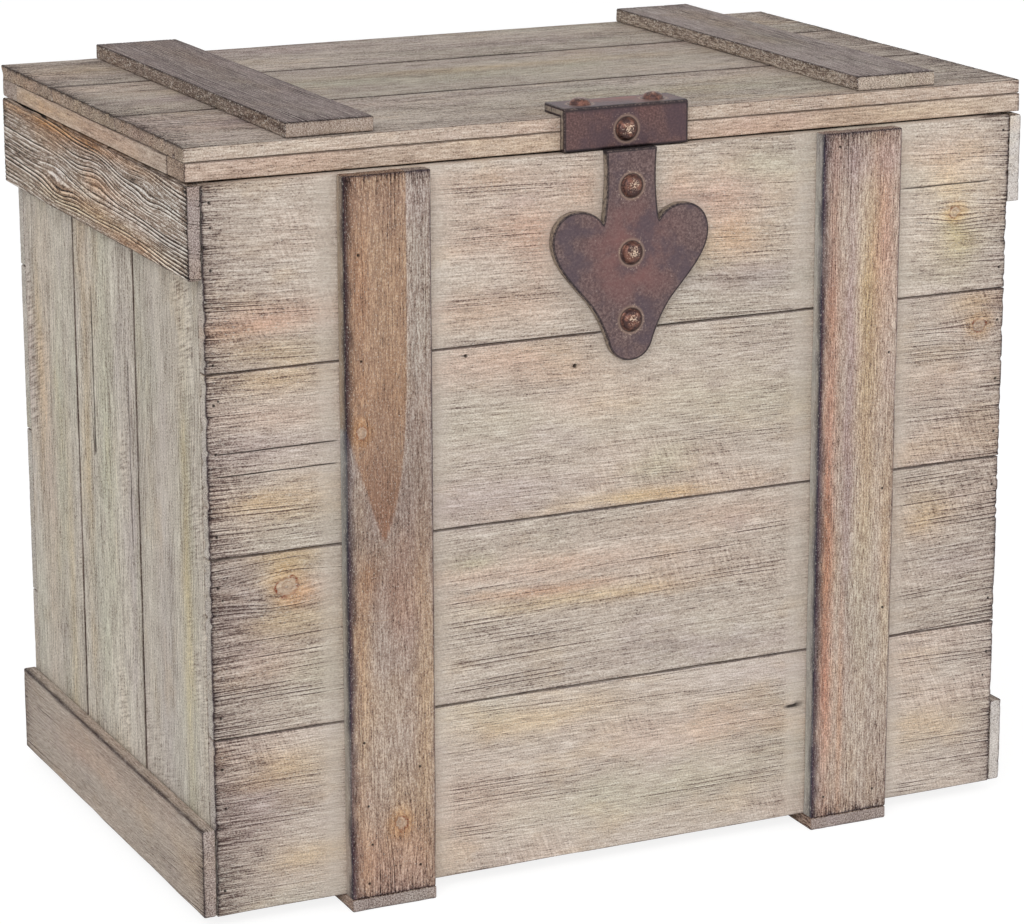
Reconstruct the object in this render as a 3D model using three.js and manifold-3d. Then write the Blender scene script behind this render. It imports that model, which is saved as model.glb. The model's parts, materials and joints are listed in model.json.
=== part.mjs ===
// Grain ark chest: a boarded wooden chest on two skids, with a hinged plank lid and a riveted iron hasp.
// Millimetres. +Z up, +X to the viewer's right, the front faces -Y, and the origin is on the floor
// under the middle of the chest.

import * as THREE from "three";
import { mergeVertices } from "three/addons/utils/BufferGeometryUtils.js";
import Module from "manifold-3d";

const wasm = await Module();
wasm.setup();

// Chest box
const chestWidth = 480;
const chestDepth = 302;
const boardHeight = 98.4;
const boardRows = 4;
const wallThickness = 8;
const sideSeamShares = [0.344, 0.691];
const floorThickness = 8;
const floorBoardCount = 3;

// Battens, all sawn from one width of stock
const battenWidth = 49.5;
const frontBattenThickness = 9.7;
const frontBattenInsetLeft = 73.3;
const frontBattenInsetRight = 75.2;
const sideBattenThickness = 7.6;
const skidThickness = 7.2;
const lidBattenThickness = 8.2;
const lidBattenInsetLeft = 58.5;
const lidBattenInsetRight = 53.5;
const lidBattenSetbackFront = 3;
const lidBattenSetbackBack = 0.8;
const lidBattenEndBevel = 2.4;

// Lid
const lidOverhang = 1.4;
const lidSetback = 4.8;
const lidGap = 0.5;
const plankThickness = 7.6;
const plankWidth = 103.5;
const plankCount = 3;
const railThickness = 10.4;
const railWidth = 25;

// Iron hasp: an angle bracket over the lid's edge and a heart-ended plate on the chest
const ironThickness = 5;
const bracketWidth = 73.5;
const bracketReach = 19;
const bracketCornerRadius = 2;
const bracketRivetSpacing = 43.4;
const bracketRivetDrop = 1.6;
const plateWidth = 93;
const plateHeight = 114;
const plateDrop = 0.6;
const plateOffset = 0.9;
const plateRivetShares = [0.165, 0.483, 0.804];
const rivetDiameter = 12.6;
const rivetHeight = 3.8;
const rivetShankDiameter = 4;
const rivetGrip = 5;

// Right half of the plate's outline from its top corner to its tip, as shares of half its width and of
// its height: two controls and an end point for each curve.
const plateCurveShares = [
  [0.30, 0.10, 0.305, 0.20, 0.353, 0.339],
  [0.41, 0.295, 0.53, 0.268, 0.677, 0.268],
  [0.86, 0.268, 1.00, 0.325, 1.00, 0.405],
  [1.00, 0.50, 0.82, 0.582, 0.559, 0.699],
  [0.44, 0.755, 0.335, 0.84, 0.275, 0.919],
  [0.235, 0.965, 0.14, 1.00, 0, 1.00],
];
const plateNeckShare = 0.323;

// Two butt hinges on the back
const hingeClearance = 11;
const hingeWidth = 40;
const leafHeight = 15;
const leafThickness = 1.5;
const knuckleCount = 3;
const pinDiameter = 2.4;
const pinHeadHeight = 0.8;
const screwSpacing = 24;
const screwDistance = 8;
const screwHeadDiameter = 5.2;
const screwHeadHeight = 1.5;
const screwShankDiameter = 2.2;
const screwGrip = 5.5;

// Working values: the ease on sawn edges, the gap round fitted pieces, and the overrun of every cut
const edgeEase = 1.2;
const fitGap = 0.3;
const overrun = 1;
const roundSides = 20;
const domeRings = 4;
const curvePoints = 6;

// Heights and faces that the pieces share
const halfWidth = chestWidth / 2;
const halfDepth = chestDepth / 2;
const chestBottom = skidThickness;
const chestHeight = boardHeight * boardRows;
const chestTop = chestBottom + chestHeight;
const frontFace = -halfDepth;
const backFace = halfDepth;
const innerFront = frontFace + wallThickness;
const innerBack = backFace - wallThickness;
const lidBottom = chestTop + lidGap;
const lidJoint = lidBottom + railThickness;
const lidTop = lidJoint + plankThickness;
const lidHeight = lidTop - lidBottom;
const lidHalfWidth = halfWidth + sideBattenThickness + lidOverhang;
const lidFront = frontFace + lidSetback;
const lidBack = backFace;

function wood(color) {
  return new THREE.MeshStandardMaterial({ color, roughness: 0.85, metalness: 0 });
}

const boardWood = wood(0xb8a88f);
const sideWood = wood(0xb3a890);
const battenWood = wood(0x9a7c63);
const sideBattenWood = wood(0x9b8874);
const lidWood = wood(0xa2937f);
const lidBattenWood = wood(0x85766d);
const innerWood = wood(0xa8967c);
const iron = new THREE.MeshStandardMaterial({ color: 0x57434a, roughness: 0.55, metalness: 0.8 });
const hingeSteel = new THREE.MeshStandardMaterial({ color: 0x6d5d4c, roughness: 0.45, metalness: 0.9 });

// Axes that a drawn outline's (x, y, depth) turn into, for a piece that runs along X, Y or Z
const X = new THREE.Vector3(1, 0, 0);
const Y = new THREE.Vector3(0, 1, 0);
const Z = new THREE.Vector3(0, 0, 1);
const turns = {
  x: new THREE.Matrix4().makeBasis(Y, Z, X),
  y: new THREE.Matrix4().makeBasis(Z, X, Y),
  z: new THREE.Matrix4().makeBasis(X, Y, Z),
};

function toSolid(geometry) {
  const bare = geometry.clone();
  bare.deleteAttribute("normal");
  bare.deleteAttribute("uv");
  const merged = mergeVertices(bare);
  return new wasm.Manifold(new wasm.Mesh({
    numProp: 3,
    vertProperties: new Float32Array(merged.attributes.position.array),
    triVerts: new Uint32Array(merged.index.array),
  }));
}

function toGeometry(solid) {
  const mesh = solid.getMesh();
  const geometry = new THREE.BufferGeometry();
  geometry.setAttribute("position", new THREE.BufferAttribute(mesh.vertProperties, 3));
  geometry.setIndex(new THREE.BufferAttribute(mesh.triVerts, 1));
  geometry.computeVertexNormals();
  return geometry;
}

function prism(outline, along, length) {
  const settings = { depth: length, bevelEnabled: false, curveSegments: curvePoints };
  const geometry = new THREE.ExtrudeGeometry(outline, settings);
  return geometry.translate(0, 0, -length / 2).applyMatrix4(turns[along]);
}

// A rectangle with its corners cut off, centred on the origin
function easedRectangle(width, height, cut) {
  const right = width / 2;
  const top = height / 2;
  const outline = new THREE.Shape();
  outline.moveTo(-right + cut, top);
  outline.lineTo(-right, top - cut);
  outline.lineTo(-right, -top + cut);
  outline.lineTo(-right + cut, -top);
  outline.lineTo(right - cut, -top);
  outline.lineTo(right, -top + cut);
  outline.lineTo(right, top - cut);
  outline.lineTo(right - cut, top);
  outline.closePath();
  return outline;
}

// A trapezoid centred on the origin, whose two ends slope in by the same amount towards the top
function slopedRectangle(width, height, slope) {
  const right = width / 2;
  const top = height / 2;
  const outline = new THREE.Shape();
  outline.moveTo(-right + slope, top);
  outline.lineTo(-right, -top);
  outline.lineTo(right, -top);
  outline.lineTo(right - slope, top);
  outline.closePath();
  return outline;
}

// A sawn board between two corners with all its long edges and ends eased
function boardSolid(low, high) {
  const size = new THREE.Vector3().subVectors(high, low);
  const middle = new THREE.Vector3().addVectors(low, high).divideScalar(2);
  const ease = Math.min(edgeEase, Math.min(size.x, size.y, size.z) / 4);
  const cuts = [
    prism(easedRectangle(size.y, size.z, ease), "x", size.x),
    prism(easedRectangle(size.z, size.x, ease), "y", size.y),
    prism(easedRectangle(size.x, size.y, ease), "z", size.z),
  ];
  const solid = cuts.map(toSolid).reduce((left, right) => left.intersect(right));
  return solid.translate(middle.toArray());
}

const drilled = [];

function drill(from, direction, depth, radius) {
  const hole = new THREE.CylinderGeometry(radius, radius, depth + overrun, roundSides);
  const turn = new THREE.Quaternion().setFromUnitVectors(Y, direction);
  const middle = from.clone().addScaledVector(direction, (depth - overrun) / 2);
  drilled.push(toSolid(hole.applyQuaternion(turn).translate(middle.x, middle.y, middle.z)));
}

function addMesh(parent, name, geometry, material) {
  const mesh = new THREE.Mesh(geometry, material);
  mesh.name = name;
  parent.add(mesh);
}

function addBoard(parent, name, low, high, material) {
  const solid = boardSolid(new THREE.Vector3(...low), new THREE.Vector3(...high));
  addSolid(parent, name, solid, material);
}

// Every solid is given the pilot holes that reach it, so that fasteners run through without touching
function addSolid(parent, name, solid, material) {
  const whole = drilled.reduce((left, hole) => left.subtract(hole), solid);
  addMesh(parent, name, toGeometry(whole), material);
}

// A domed head on a round shank, along +Y with the head's seat at the origin
function fastener(headDiameter, headHeight, shankDiameter, shankLength) {
  const radius = headDiameter / 2;
  const sphere = (radius * radius + headHeight * headHeight) / (2 * headHeight);
  const rim = Math.asin(Math.min(radius / sphere, 1));
  const profile = [new THREE.Vector2(0, -shankLength), new THREE.Vector2(shankDiameter / 2, -shankLength)];
  profile.push(new THREE.Vector2(shankDiameter / 2, 0));
  for (let ring = domeRings; ring > 0; ring -= 1) {
    const angle = (rim * ring) / domeRings;
    const height = headHeight - sphere * (1 - Math.cos(angle));
    profile.push(new THREE.Vector2(sphere * Math.sin(angle), height));
  }
  profile.push(new THREE.Vector2(0, headHeight));
  return new THREE.LatheGeometry(profile, roundSides);
}

function addFastener(parent, name, seat, outward, head, material) {
  const turn = new THREE.Quaternion().setFromUnitVectors(Y, outward);
  const geometry = fastener(...head).applyQuaternion(turn).translate(seat.x, seat.y, seat.z);
  addMesh(parent, name, geometry, material);
}

const chest = new THREE.Group();
const lid = new THREE.Group();
const model = new THREE.Group();
model.add(chest, lid);

// Fasteners: the places come first, because boards and ironwork are drilled for them
const front = new THREE.Vector3(0, -1, 0);
const back = new THREE.Vector3(0, 1, 0);
const up = new THREE.Vector3(0, 0, 1);
const rivetHead = [rivetDiameter, rivetHeight, rivetShankDiameter, ironThickness + rivetGrip];
const screwHead = [screwHeadDiameter, screwHeadHeight, screwShankDiameter, leafThickness + screwGrip];
const plateTop = chestTop - plateDrop;
const plateFace = frontFace - ironThickness;
const bracketFace = lidFront - ironThickness;
const bracketTop = lidTop + ironThickness;
const fasteners = [];

function placeFastener(parent, name, seat, outward, head, material) {
  const [, , shankDiameter, shankLength] = head;
  const inward = outward.clone().negate();
  drill(seat, inward, shankLength + fitGap, shankDiameter / 2 + fitGap);
  fasteners.push([parent, name, seat, outward, head, material]);
}

plateRivetShares.forEach((share, index) => {
  const seat = new THREE.Vector3(plateOffset, plateFace, plateTop - share * plateHeight);
  placeFastener(chest, `plate_rivet_${index + 1}`, seat, front, rivetHead, iron);
});
const legMiddle = (lidBottom + bracketTop) / 2;
const legSeat = new THREE.Vector3(0, bracketFace, legMiddle - bracketRivetDrop);
placeFastener(lid, "bracket_rivet_front", legSeat, front, rivetHead, iron);
for (const [side, sign] of [["left", -1], ["right", 1]]) {
  const along = (sign * bracketRivetSpacing) / 2;
  const seat = new THREE.Vector3(along, (bracketFace + lidFront + bracketReach) / 2, bracketTop);
  placeFastener(lid, `bracket_rivet_${side}`, seat, up, rivetHead, iron);
}

// Where the upright battens on the front and back start from the left
const battenStarts = {
  left: -halfWidth + frontBattenInsetLeft,
  right: halfWidth - frontBattenInsetRight - battenWidth,
};

// Hinge places: one hinge inside each back batten. The pin's line runs along X, level with the gap
// under the lid, one barrel radius behind the chest.
const hingePlaces = {
  left: battenStarts.left + battenWidth + hingeClearance + hingeWidth / 2,
  right: battenStarts.right - hingeClearance - hingeWidth / 2,
};
const barrelRadius = pinDiameter / 2 + fitGap + leafThickness;
const hingeLineY = backFace + barrelRadius;
const hingeLineZ = (chestTop + lidBottom) / 2;
const leafFace = backFace + leafThickness;

for (const [side, hingeX] of Object.entries(hingePlaces)) {
  for (const [leaf, parent, rise] of [["chest", chest, -1], ["lid", lid, 1]]) {
    for (const [hand, offset] of [["a", -screwSpacing / 2], ["b", screwSpacing / 2]]) {
      const seat = new THREE.Vector3(hingeX + offset, leafFace, hingeLineZ + rise * screwDistance);
      placeFastener(parent, `hinge_${side}_${leaf}_screw_${hand}`, seat, back, screwHead, hingeSteel);
    }
  }
}

// Front and back walls: equal boards that run past the side walls
for (let row = 0; row < boardRows; row += 1) {
  const bottom = chestBottom + row * boardHeight;
  const top = bottom + boardHeight;
  for (const [wall, near, far] of [["front", frontFace, innerFront], ["back", innerBack, backFace]]) {
    const low = [-halfWidth, near, bottom];
    addBoard(chest, `${wall}_board_${row + 1}`, low, [halfWidth, far, top], boardWood);
  }
}

// Side walls: upright boards counted from the front, with their seams as shares of the inside depth
const innerDepth = innerBack - innerFront;
const sideEdges = [0, ...sideSeamShares, 1].map((share) => innerFront + share * innerDepth);
for (const [side, sign] of [["left", -1], ["right", 1]]) {
  const outer = sign * halfWidth;
  const inner = sign * (halfWidth - wallThickness);
  for (let index = 1; index < sideEdges.length; index += 1) {
    const low = [Math.min(outer, inner), sideEdges[index - 1], chestBottom];
    const high = [Math.max(outer, inner), sideEdges[index], chestTop];
    addBoard(chest, `${side}_board_${index}`, low, high, sideWood);
  }
}

// Floor boards between the walls, resting on the skids
const floorWidth = innerDepth / floorBoardCount;
for (let index = 0; index < floorBoardCount; index += 1) {
  const start = innerFront + index * floorWidth;
  const low = [-halfWidth + wallThickness, start, chestBottom];
  const high = [halfWidth - wallThickness, start + floorWidth, chestBottom + floorThickness];
  addBoard(chest, `floor_board_${index + 1}`, low, high, innerWood);
}

// Upright battens on the front and back, with a skid under each pair
const outerFront = frontFace - frontBattenThickness;
const outerBack = backFace + frontBattenThickness;
for (const [side, start] of Object.entries(battenStarts)) {
  const end = start + battenWidth;
  for (const [wall, low, high] of [["front", outerFront, frontFace], ["back", backFace, outerBack]]) {
    addBoard(chest, `${wall}_batten_${side}`, [start, low, chestBottom], [end, high, chestTop], battenWood);
  }
  addBoard(chest, `skid_${side}`, [start, outerFront, 0], [end, outerBack, chestBottom], battenWood);
}

// Level battens at the top and bottom of each side wall
for (const [side, sign] of [["left", -1], ["right", 1]]) {
  const inner = sign * halfWidth;
  const outer = sign * (halfWidth + sideBattenThickness);
  for (const [level, bottom] of [["bottom", chestBottom], ["top", chestTop - battenWidth]]) {
    const low = [Math.min(inner, outer), frontFace, bottom];
    const high = [Math.max(inner, outer), backFace, bottom + battenWidth];
    addBoard(chest, `${side}_${level}_batten`, low, high, sideBattenWood);
  }
}

// Lid: a frame of four rails under planks that run left to right
const railInnerFront = lidFront + railWidth;
const railInnerBack = lidBack - railWidth;
const railInner = lidHalfWidth - railWidth;
const rails = {
  lid_rail_front: [[-lidHalfWidth, lidFront, lidBottom], [lidHalfWidth, railInnerFront, lidJoint]],
  lid_rail_back: [[-lidHalfWidth, railInnerBack, lidBottom], [lidHalfWidth, lidBack, lidJoint]],
  lid_rail_left: [[-lidHalfWidth, railInnerFront, lidBottom], [-railInner, railInnerBack, lidJoint]],
  lid_rail_right: [[railInner, railInnerFront, lidBottom], [lidHalfWidth, railInnerBack, lidJoint]],
};
for (const [name, [low, high]] of Object.entries(rails)) {
  addBoard(lid, name, low, high, lidWood);
}
for (let index = 0; index < plankCount; index += 1) {
  const start = lidFront + index * plankWidth;
  const end = index === plankCount - 1 ? lidBack : start + plankWidth;
  const low = [-lidHalfWidth, start, lidJoint];
  addBoard(lid, `lid_plank_${index + 1}`, low, [lidHalfWidth, end, lidTop], lidWood);
}

// Lid battens: eased boards whose ends slope in towards the top
const lidBattenStarts = {
  left: -lidHalfWidth + lidBattenInsetLeft,
  right: lidHalfWidth - lidBattenInsetRight - battenWidth,
};
const lidBattenLow = lidFront + lidBattenSetbackFront;
const lidBattenHigh = lidBack - lidBattenSetbackBack;
for (const [side, start] of Object.entries(lidBattenStarts)) {
  const low = new THREE.Vector3(start, lidBattenLow, lidTop);
  const high = new THREE.Vector3(start + battenWidth, lidBattenHigh, lidTop + lidBattenThickness);
  const sloped = slopedRectangle(lidBattenHigh - lidBattenLow, lidBattenThickness, lidBattenEndBevel);
  const envelope = toSolid(prism(sloped, "x", battenWidth));
  const middle = new THREE.Vector3().addVectors(low, high).divideScalar(2);
  const solid = boardSolid(low, high).intersect(envelope.translate(middle.toArray()));
  addSolid(lid, `lid_batten_${side}`, solid, lidBattenWood);
}

// Bracket: an L folded over the lid's front edge
function bracketOutline() {
  const outline = new THREE.Shape();
  const top = lidHeight + ironThickness;
  const corner = -ironThickness + bracketCornerRadius;
  outline.moveTo(0, 0);
  outline.lineTo(0, lidHeight);
  outline.lineTo(bracketReach, lidHeight);
  outline.lineTo(bracketReach, top);
  outline.lineTo(corner, top);
  outline.absarc(corner, top - bracketCornerRadius, bracketCornerRadius, Math.PI / 2, Math.PI, false);
  outline.lineTo(-ironThickness, 0);
  outline.closePath();
  return outline;
}
const bracket = prism(bracketOutline(), "x", bracketWidth).translate(0, lidFront, lidBottom);
addSolid(lid, "lid_bracket", toSolid(bracket), iron);

// Heart plate: a neck that widens into two lobes and closes in a round tip, drawn from the top down
function plateOutline() {
  const half = plateWidth / 2;
  const outline = new THREE.Shape();
  const right = plateCurveShares.map(([ax, ay, bx, by, x, y]) => [
    ax * half, -ay * plateHeight, bx * half, -by * plateHeight, x * half, -y * plateHeight,
  ]);
  outline.moveTo(-plateNeckShare * half, 0);
  outline.lineTo(plateNeckShare * half, 0);
  right.forEach((curve) => outline.bezierCurveTo(...curve));
  const starts = [[plateNeckShare * half, 0], ...right.map((curve) => curve.slice(4))];
  for (let index = right.length - 1; index >= 0; index -= 1) {
    const [ax, ay, bx, by] = right[index];
    const [x, y] = starts[index];
    outline.bezierCurveTo(-bx, by, -ax, ay, -x, y);
  }
  outline.closePath();
  return outline;
}
const settings = { depth: ironThickness, bevelEnabled: false, curveSegments: curvePoints };
const plate = new THREE.ExtrudeGeometry(plateOutline(), settings);
plate.rotateX(Math.PI / 2).translate(plateOffset, frontFace, plateTop);
addSolid(chest, "heart_plate", toSolid(plate), iron);

// Hinge leaves: a plate with knuckles that take turns along the pin, the odd ones on the lid
const knucklePitch = hingeWidth / knuckleCount;
const plateStart = barrelRadius + fitGap;

function boxSolid(low, high) {
  const size = new THREE.Vector3().subVectors(high, low);
  const middle = new THREE.Vector3().addVectors(low, high).divideScalar(2);
  const geometry = new THREE.BoxGeometry(size.x, size.y, size.z);
  return toSolid(geometry.translate(middle.x, middle.y, middle.z));
}

function rod(radius, length) {
  return new THREE.CylinderGeometry(radius, radius, length, roundSides).rotateZ(-Math.PI / 2);
}

function leafSolid(hingeX, rise, firstKnuckle) {
  const halfHinge = hingeWidth / 2;
  const far = rise * leafHeight;
  const near = rise * plateStart;
  let solid = boxSolid(
    new THREE.Vector3(hingeX - halfHinge, backFace, hingeLineZ + Math.min(near, far)),
    new THREE.Vector3(hingeX + halfHinge, leafFace, hingeLineZ + Math.max(near, far)),
  );
  for (let index = firstKnuckle; index < knuckleCount; index += 2) {
    const start = hingeX - halfHinge + index * knucklePitch + (index > 0 ? fitGap / 2 : 0);
    const isLast = index === knuckleCount - 1;
    const end = hingeX - halfHinge + (index + 1) * knucklePitch - (isLast ? 0 : fitGap / 2);
    const web = rise * (plateStart + leafThickness);
    solid = solid.add(boxSolid(
      new THREE.Vector3(start, backFace, hingeLineZ + Math.min(0, web)),
      new THREE.Vector3(end, leafFace, hingeLineZ + Math.max(0, web)),
    ));
    const barrel = rod(barrelRadius, end - start).translate((start + end) / 2, hingeLineY, hingeLineZ);
    solid = solid.add(toSolid(barrel));
  }
  const bore = rod(pinDiameter / 2 + fitGap, hingeWidth + 2 * overrun);
  return solid.subtract(toSolid(bore.translate(hingeX, hingeLineY, hingeLineZ)));
}

function pinSolid(hingeX) {
  const reach = hingeWidth + 2 * fitGap;
  let solid = toSolid(rod(pinDiameter / 2, reach));
  for (const sign of [-1, 1]) {
    const cap = rod(barrelRadius - fitGap, pinHeadHeight);
    solid = solid.add(toSolid(cap.translate((sign * (reach + pinHeadHeight)) / 2, 0, 0)));
  }
  return solid.translate([hingeX, hingeLineY, hingeLineZ]);
}

for (const [side, hingeX] of Object.entries(hingePlaces)) {
  addSolid(chest, `hinge_${side}_chest_leaf`, leafSolid(hingeX, -1, 0), hingeSteel);
  addSolid(lid, `hinge_${side}_lid_leaf`, leafSolid(hingeX, 1, 1), hingeSteel);
  addSolid(chest, `hinge_${side}_pin`, pinSolid(hingeX), hingeSteel);
}

fasteners.forEach((item) => addFastener(...item));

export default model;
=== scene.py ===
import json
import math
from types import SimpleNamespace

import bmesh
import bpy
import numpy as np
from mathutils import Matrix, Vector


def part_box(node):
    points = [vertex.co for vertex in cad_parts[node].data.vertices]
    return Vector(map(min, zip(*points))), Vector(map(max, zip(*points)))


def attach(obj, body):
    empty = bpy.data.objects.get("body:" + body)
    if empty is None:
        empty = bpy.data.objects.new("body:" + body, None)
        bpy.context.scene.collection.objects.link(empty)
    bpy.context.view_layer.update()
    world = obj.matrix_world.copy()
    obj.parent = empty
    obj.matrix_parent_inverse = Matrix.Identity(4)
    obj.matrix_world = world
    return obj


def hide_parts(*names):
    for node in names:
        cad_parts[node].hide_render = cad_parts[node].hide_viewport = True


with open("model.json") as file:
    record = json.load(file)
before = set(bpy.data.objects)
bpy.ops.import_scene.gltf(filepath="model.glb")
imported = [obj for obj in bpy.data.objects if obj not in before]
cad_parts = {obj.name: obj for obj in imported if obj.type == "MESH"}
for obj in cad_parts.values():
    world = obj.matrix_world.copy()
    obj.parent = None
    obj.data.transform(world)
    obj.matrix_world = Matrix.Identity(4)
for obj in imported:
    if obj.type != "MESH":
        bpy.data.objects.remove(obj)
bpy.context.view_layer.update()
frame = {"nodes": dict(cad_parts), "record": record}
record = frame["record"]
body_of = {node: body for body, nodes in record["behaviour"]["bodies"].items() for node in nodes}
MM = 0.001


# Camera, at the photograph's viewing angle: place in metres, angles in radians

CAMERA_PLACE = (-0.86557, -1.84043, 0.74492)
CAMERA_AZIMUTH = -0.44938
CAMERA_ELEVATION = 0.25738
CAMERA_LENS = 127.71
CAMERA_SENSOR = 36
CAMERA_SHIFT = (-0.0273, -0.0293)
CAMERA_CLIP = (0.05, 50)


def into_scene(made):
    bpy.context.scene.collection.objects.link(made)
    return made


def add_camera():
    data = bpy.data.cameras.new("camera")
    data.sensor_width = CAMERA_SENSOR
    data.lens = CAMERA_LENS
    data.shift_x, data.shift_y = CAMERA_SHIFT
    data.clip_start, data.clip_end = CAMERA_CLIP
    level = math.cos(CAMERA_ELEVATION)
    aside, ahead = math.sin(CAMERA_AZIMUTH) * level, math.cos(CAMERA_AZIMUTH) * level
    back = Vector((aside, -ahead, math.sin(CAMERA_ELEVATION)))
    right = Vector((0, 0, 1)).cross(back).normalized()
    turn = Matrix((right, back.cross(right), back)).transposed().to_4x4()
    camera = into_scene(bpy.data.objects.new("camera", data))
    camera.matrix_world = Matrix.Translation(CAMERA_PLACE) @ turn
    bpy.context.scene.camera = camera


add_camera()
bpy.context.scene.view_settings.view_transform = "Standard"


# Node graphs

def srgb(red, green, blue):
    """Linear colour of three numbers from 0 to 255."""
    channels = [c / 255 for c in (red, green, blue)]
    linear = [c / 12.92 if c <= 0.04045 else ((c + 0.055) / 1.055) ** 2.4 for c in channels]
    return (*linear, 1.0)


class Value:
    """What comes out of a node. Sums of values are written as plain arithmetic and make the nodes for it."""

    def __init__(self, graph, socket):
        self.graph = graph
        self.socket = socket

    def __add__(self, other):
        return self.graph.math("ADD", self, other)

    def __sub__(self, other):
        return self.graph.math("SUBTRACT", self, other)

    def __rsub__(self, other):
        return self.graph.math("SUBTRACT", other, self)

    def __mul__(self, other):
        return self.graph.math("MULTIPLY", self, other)

    def __abs__(self):
        return self.graph.math("ABSOLUTE", self)

    def larger(self, other):
        return self.graph.math("MAXIMUM", self, other)

    def smaller(self, other):
        return self.graph.math("MINIMUM", self, other)

    def span(self, low, high, start=0.0, end=1.0):
        """The value carried from low..high to start..end with soft shoulders."""
        node = self.graph.nodes.new("ShaderNodeMapRange")
        node.interpolation_type = "SMOOTHSTEP"
        return self.graph.fill(node, self, low, high, start, end)


class Graph:
    """Short calls for the nodes of one material, or of the world."""

    def __init__(self, owner):
        owner.use_nodes = True
        self.owner = owner
        self.nodes = owner.node_tree.nodes
        self.links = owner.node_tree.links

    def put(self, socket, value):
        if isinstance(value, Value):
            self.links.new(value.socket, socket)
        elif value is not None:
            socket.default_value = value

    def fill(self, node, *values, output=0):
        """Puts values into a node's first inputs, and takes one of its outputs."""
        for socket, value in zip(node.inputs, values):
            self.put(socket, value)
        return Value(self, node.outputs[output])

    def attribute(self, name, output="Fac"):
        node = self.nodes.new("ShaderNodeAttribute")
        node.attribute_name = name
        return Value(self, node.outputs[output])

    def split(self, vector):
        node = self.nodes.new("ShaderNodeSeparateXYZ")
        self.put(node.inputs[0], vector)
        return [Value(self, socket) for socket in node.outputs]

    def join(self, x, y, z):
        return self.fill(self.nodes.new("ShaderNodeCombineXYZ"), x, y, z)

    def vector(self, operation, a, b=None):
        node = self.nodes.new("ShaderNodeVectorMath")
        node.operation = operation
        return self.fill(node, a, b, output="Value" if operation in ("LENGTH", "DISTANCE") else "Vector")

    def math(self, operation, a, b=None):
        node = self.nodes.new("ShaderNodeMath")
        node.operation = operation
        return self.fill(node, a, b)

    def noise(self, vector, detail=2.0, rough=0.5, distortion=0.0):
        node = self.nodes.new("ShaderNodeTexNoise")
        names = ("Vector", "Scale", "Detail", "Roughness", "Distortion")
        for name, value in zip(names, (vector, 1.0, detail, rough, distortion)):
            self.put(node.inputs[name], value)
        return Value(self, node.outputs[0])

    def ramp(self, value, stops):
        node = self.nodes.new("ShaderNodeValToRGB")
        elements = node.color_ramp.elements
        while len(elements) < len(stops):
            elements.new(0.5)
        for element, (position, color) in zip(elements, stops):
            element.position = position
            element.color = color
        return self.fill(node, value)

    def mix(self, share, a, b, blend="MIX"):
        node = self.nodes.new("ShaderNodeMix")
        node.data_type = "RGBA"
        node.blend_type = blend
        for name, value in (("Factor", share), ("A", a), ("B", b)):
            self.put(node.inputs[name], value)
        return Value(self, node.outputs["Result"])

    def dye(self, share, color, factors):
        """The colour multiplied by another one, as far as the share says."""
        return self.mix(share, color, factors, "MULTIPLY")

    def finish(self, color, roughness, height, strength, distance, metallic=0.0, specular=0.5):
        """Sets up the shader, with the bump's distance in mm, and gives back the material."""
        bump = self.nodes.new("ShaderNodeBump")
        bump.inputs["Strength"].default_value = strength
        bump.inputs["Distance"].default_value = distance * MM
        self.put(bump.inputs["Height"], height)
        inputs = self.nodes["Principled BSDF"].inputs
        self.links.new(bump.outputs[0], inputs["Normal"])
        for name, value in (("Base Color", color), ("Roughness", roughness), ("Metallic", metallic)):
            self.put(inputs[name], value)
        inputs["Specular IOR Level"].default_value = specular
        return self.owner


# Repeatable noise and soft curves for shapes

def cell_value(cells, seed):
    """A fixed number from 0 to 1 for each cell, which looks random."""
    mixed = cells[0] * 374761393 + cells[1] * 668265263 + cells[2] * 2147483647 + seed * 1274126177
    mixed = mixed & 0xFFFFFFFF
    mixed = ((mixed ^ (mixed >> 13)) * 1274126177) & 0xFFFFFFFF
    return ((mixed ^ (mixed >> 16)) & 0xFFFF) / 65535.0


def noise(x, y, z, seed):
    """Smooth value noise from -1 to 1."""
    points = np.stack(np.broadcast_arrays(x, y, z)).astype(float)
    base = np.floor(points).astype(np.int64)
    part = points - base
    part = part * part * (3 - 2 * part)
    total = np.zeros(points.shape[1:])
    for corner in np.ndindex(2, 2, 2):
        weight = np.ones(points.shape[1:])
        for axis, step in enumerate(corner):
            weight = weight * (part[axis] if step else 1 - part[axis])
        shifted = [base[axis] + step for axis, step in enumerate(corner)]
        total = total + weight * cell_value(shifted, seed)
    return total * 2 - 1


def smooth(value, low, high):
    """0 up to low and 1 from high on, with soft shoulders between them."""
    t = np.clip((value - low) / (high - low), 0, 1)
    return t * t * (3 - 2 * t)


def bell(distance, width):
    """1 at no distance, and next to nothing beyond twice the width."""
    return np.exp(-((distance / width) ** 2))


def fade(distance, reach):
    """1 at no distance, sinking towards nothing over the reach."""
    return np.exp(-distance / reach)


def between(pair, share):
    return pair[0] + (pair[1] - pair[0]) * share


# Meshes

def mesh_object(name, points, faces, materials):
    mesh = bpy.data.meshes.new(name)
    mesh.from_pydata(points.tolist(), [], faces.tolist() if hasattr(faces, "tolist") else faces)
    mesh.shade_smooth()
    for material in materials:
        mesh.materials.append(material)
    return into_scene(bpy.data.objects.new(name, mesh))


def stand_for(piece, node):
    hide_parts(node)
    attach(piece, body_of[node])


def store(mesh, name, kind, values):
    attribute = mesh.attributes.new(name, kind, "POINT")
    key = {"FLOAT": "value", "FLOAT_VECTOR": "vector", "FLOAT_COLOR": "color"}[kind]
    attribute.data.foreach_set(key, np.ascontiguousarray(values, dtype=np.float32).ravel())


def store_masks(mesh, name, *masks):
    """Keeps three masks as the channels of one colour."""
    store(mesh, name, "FLOAT_COLOR", np.stack([*masks, np.ones(len(masks[0]))], -1))


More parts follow.
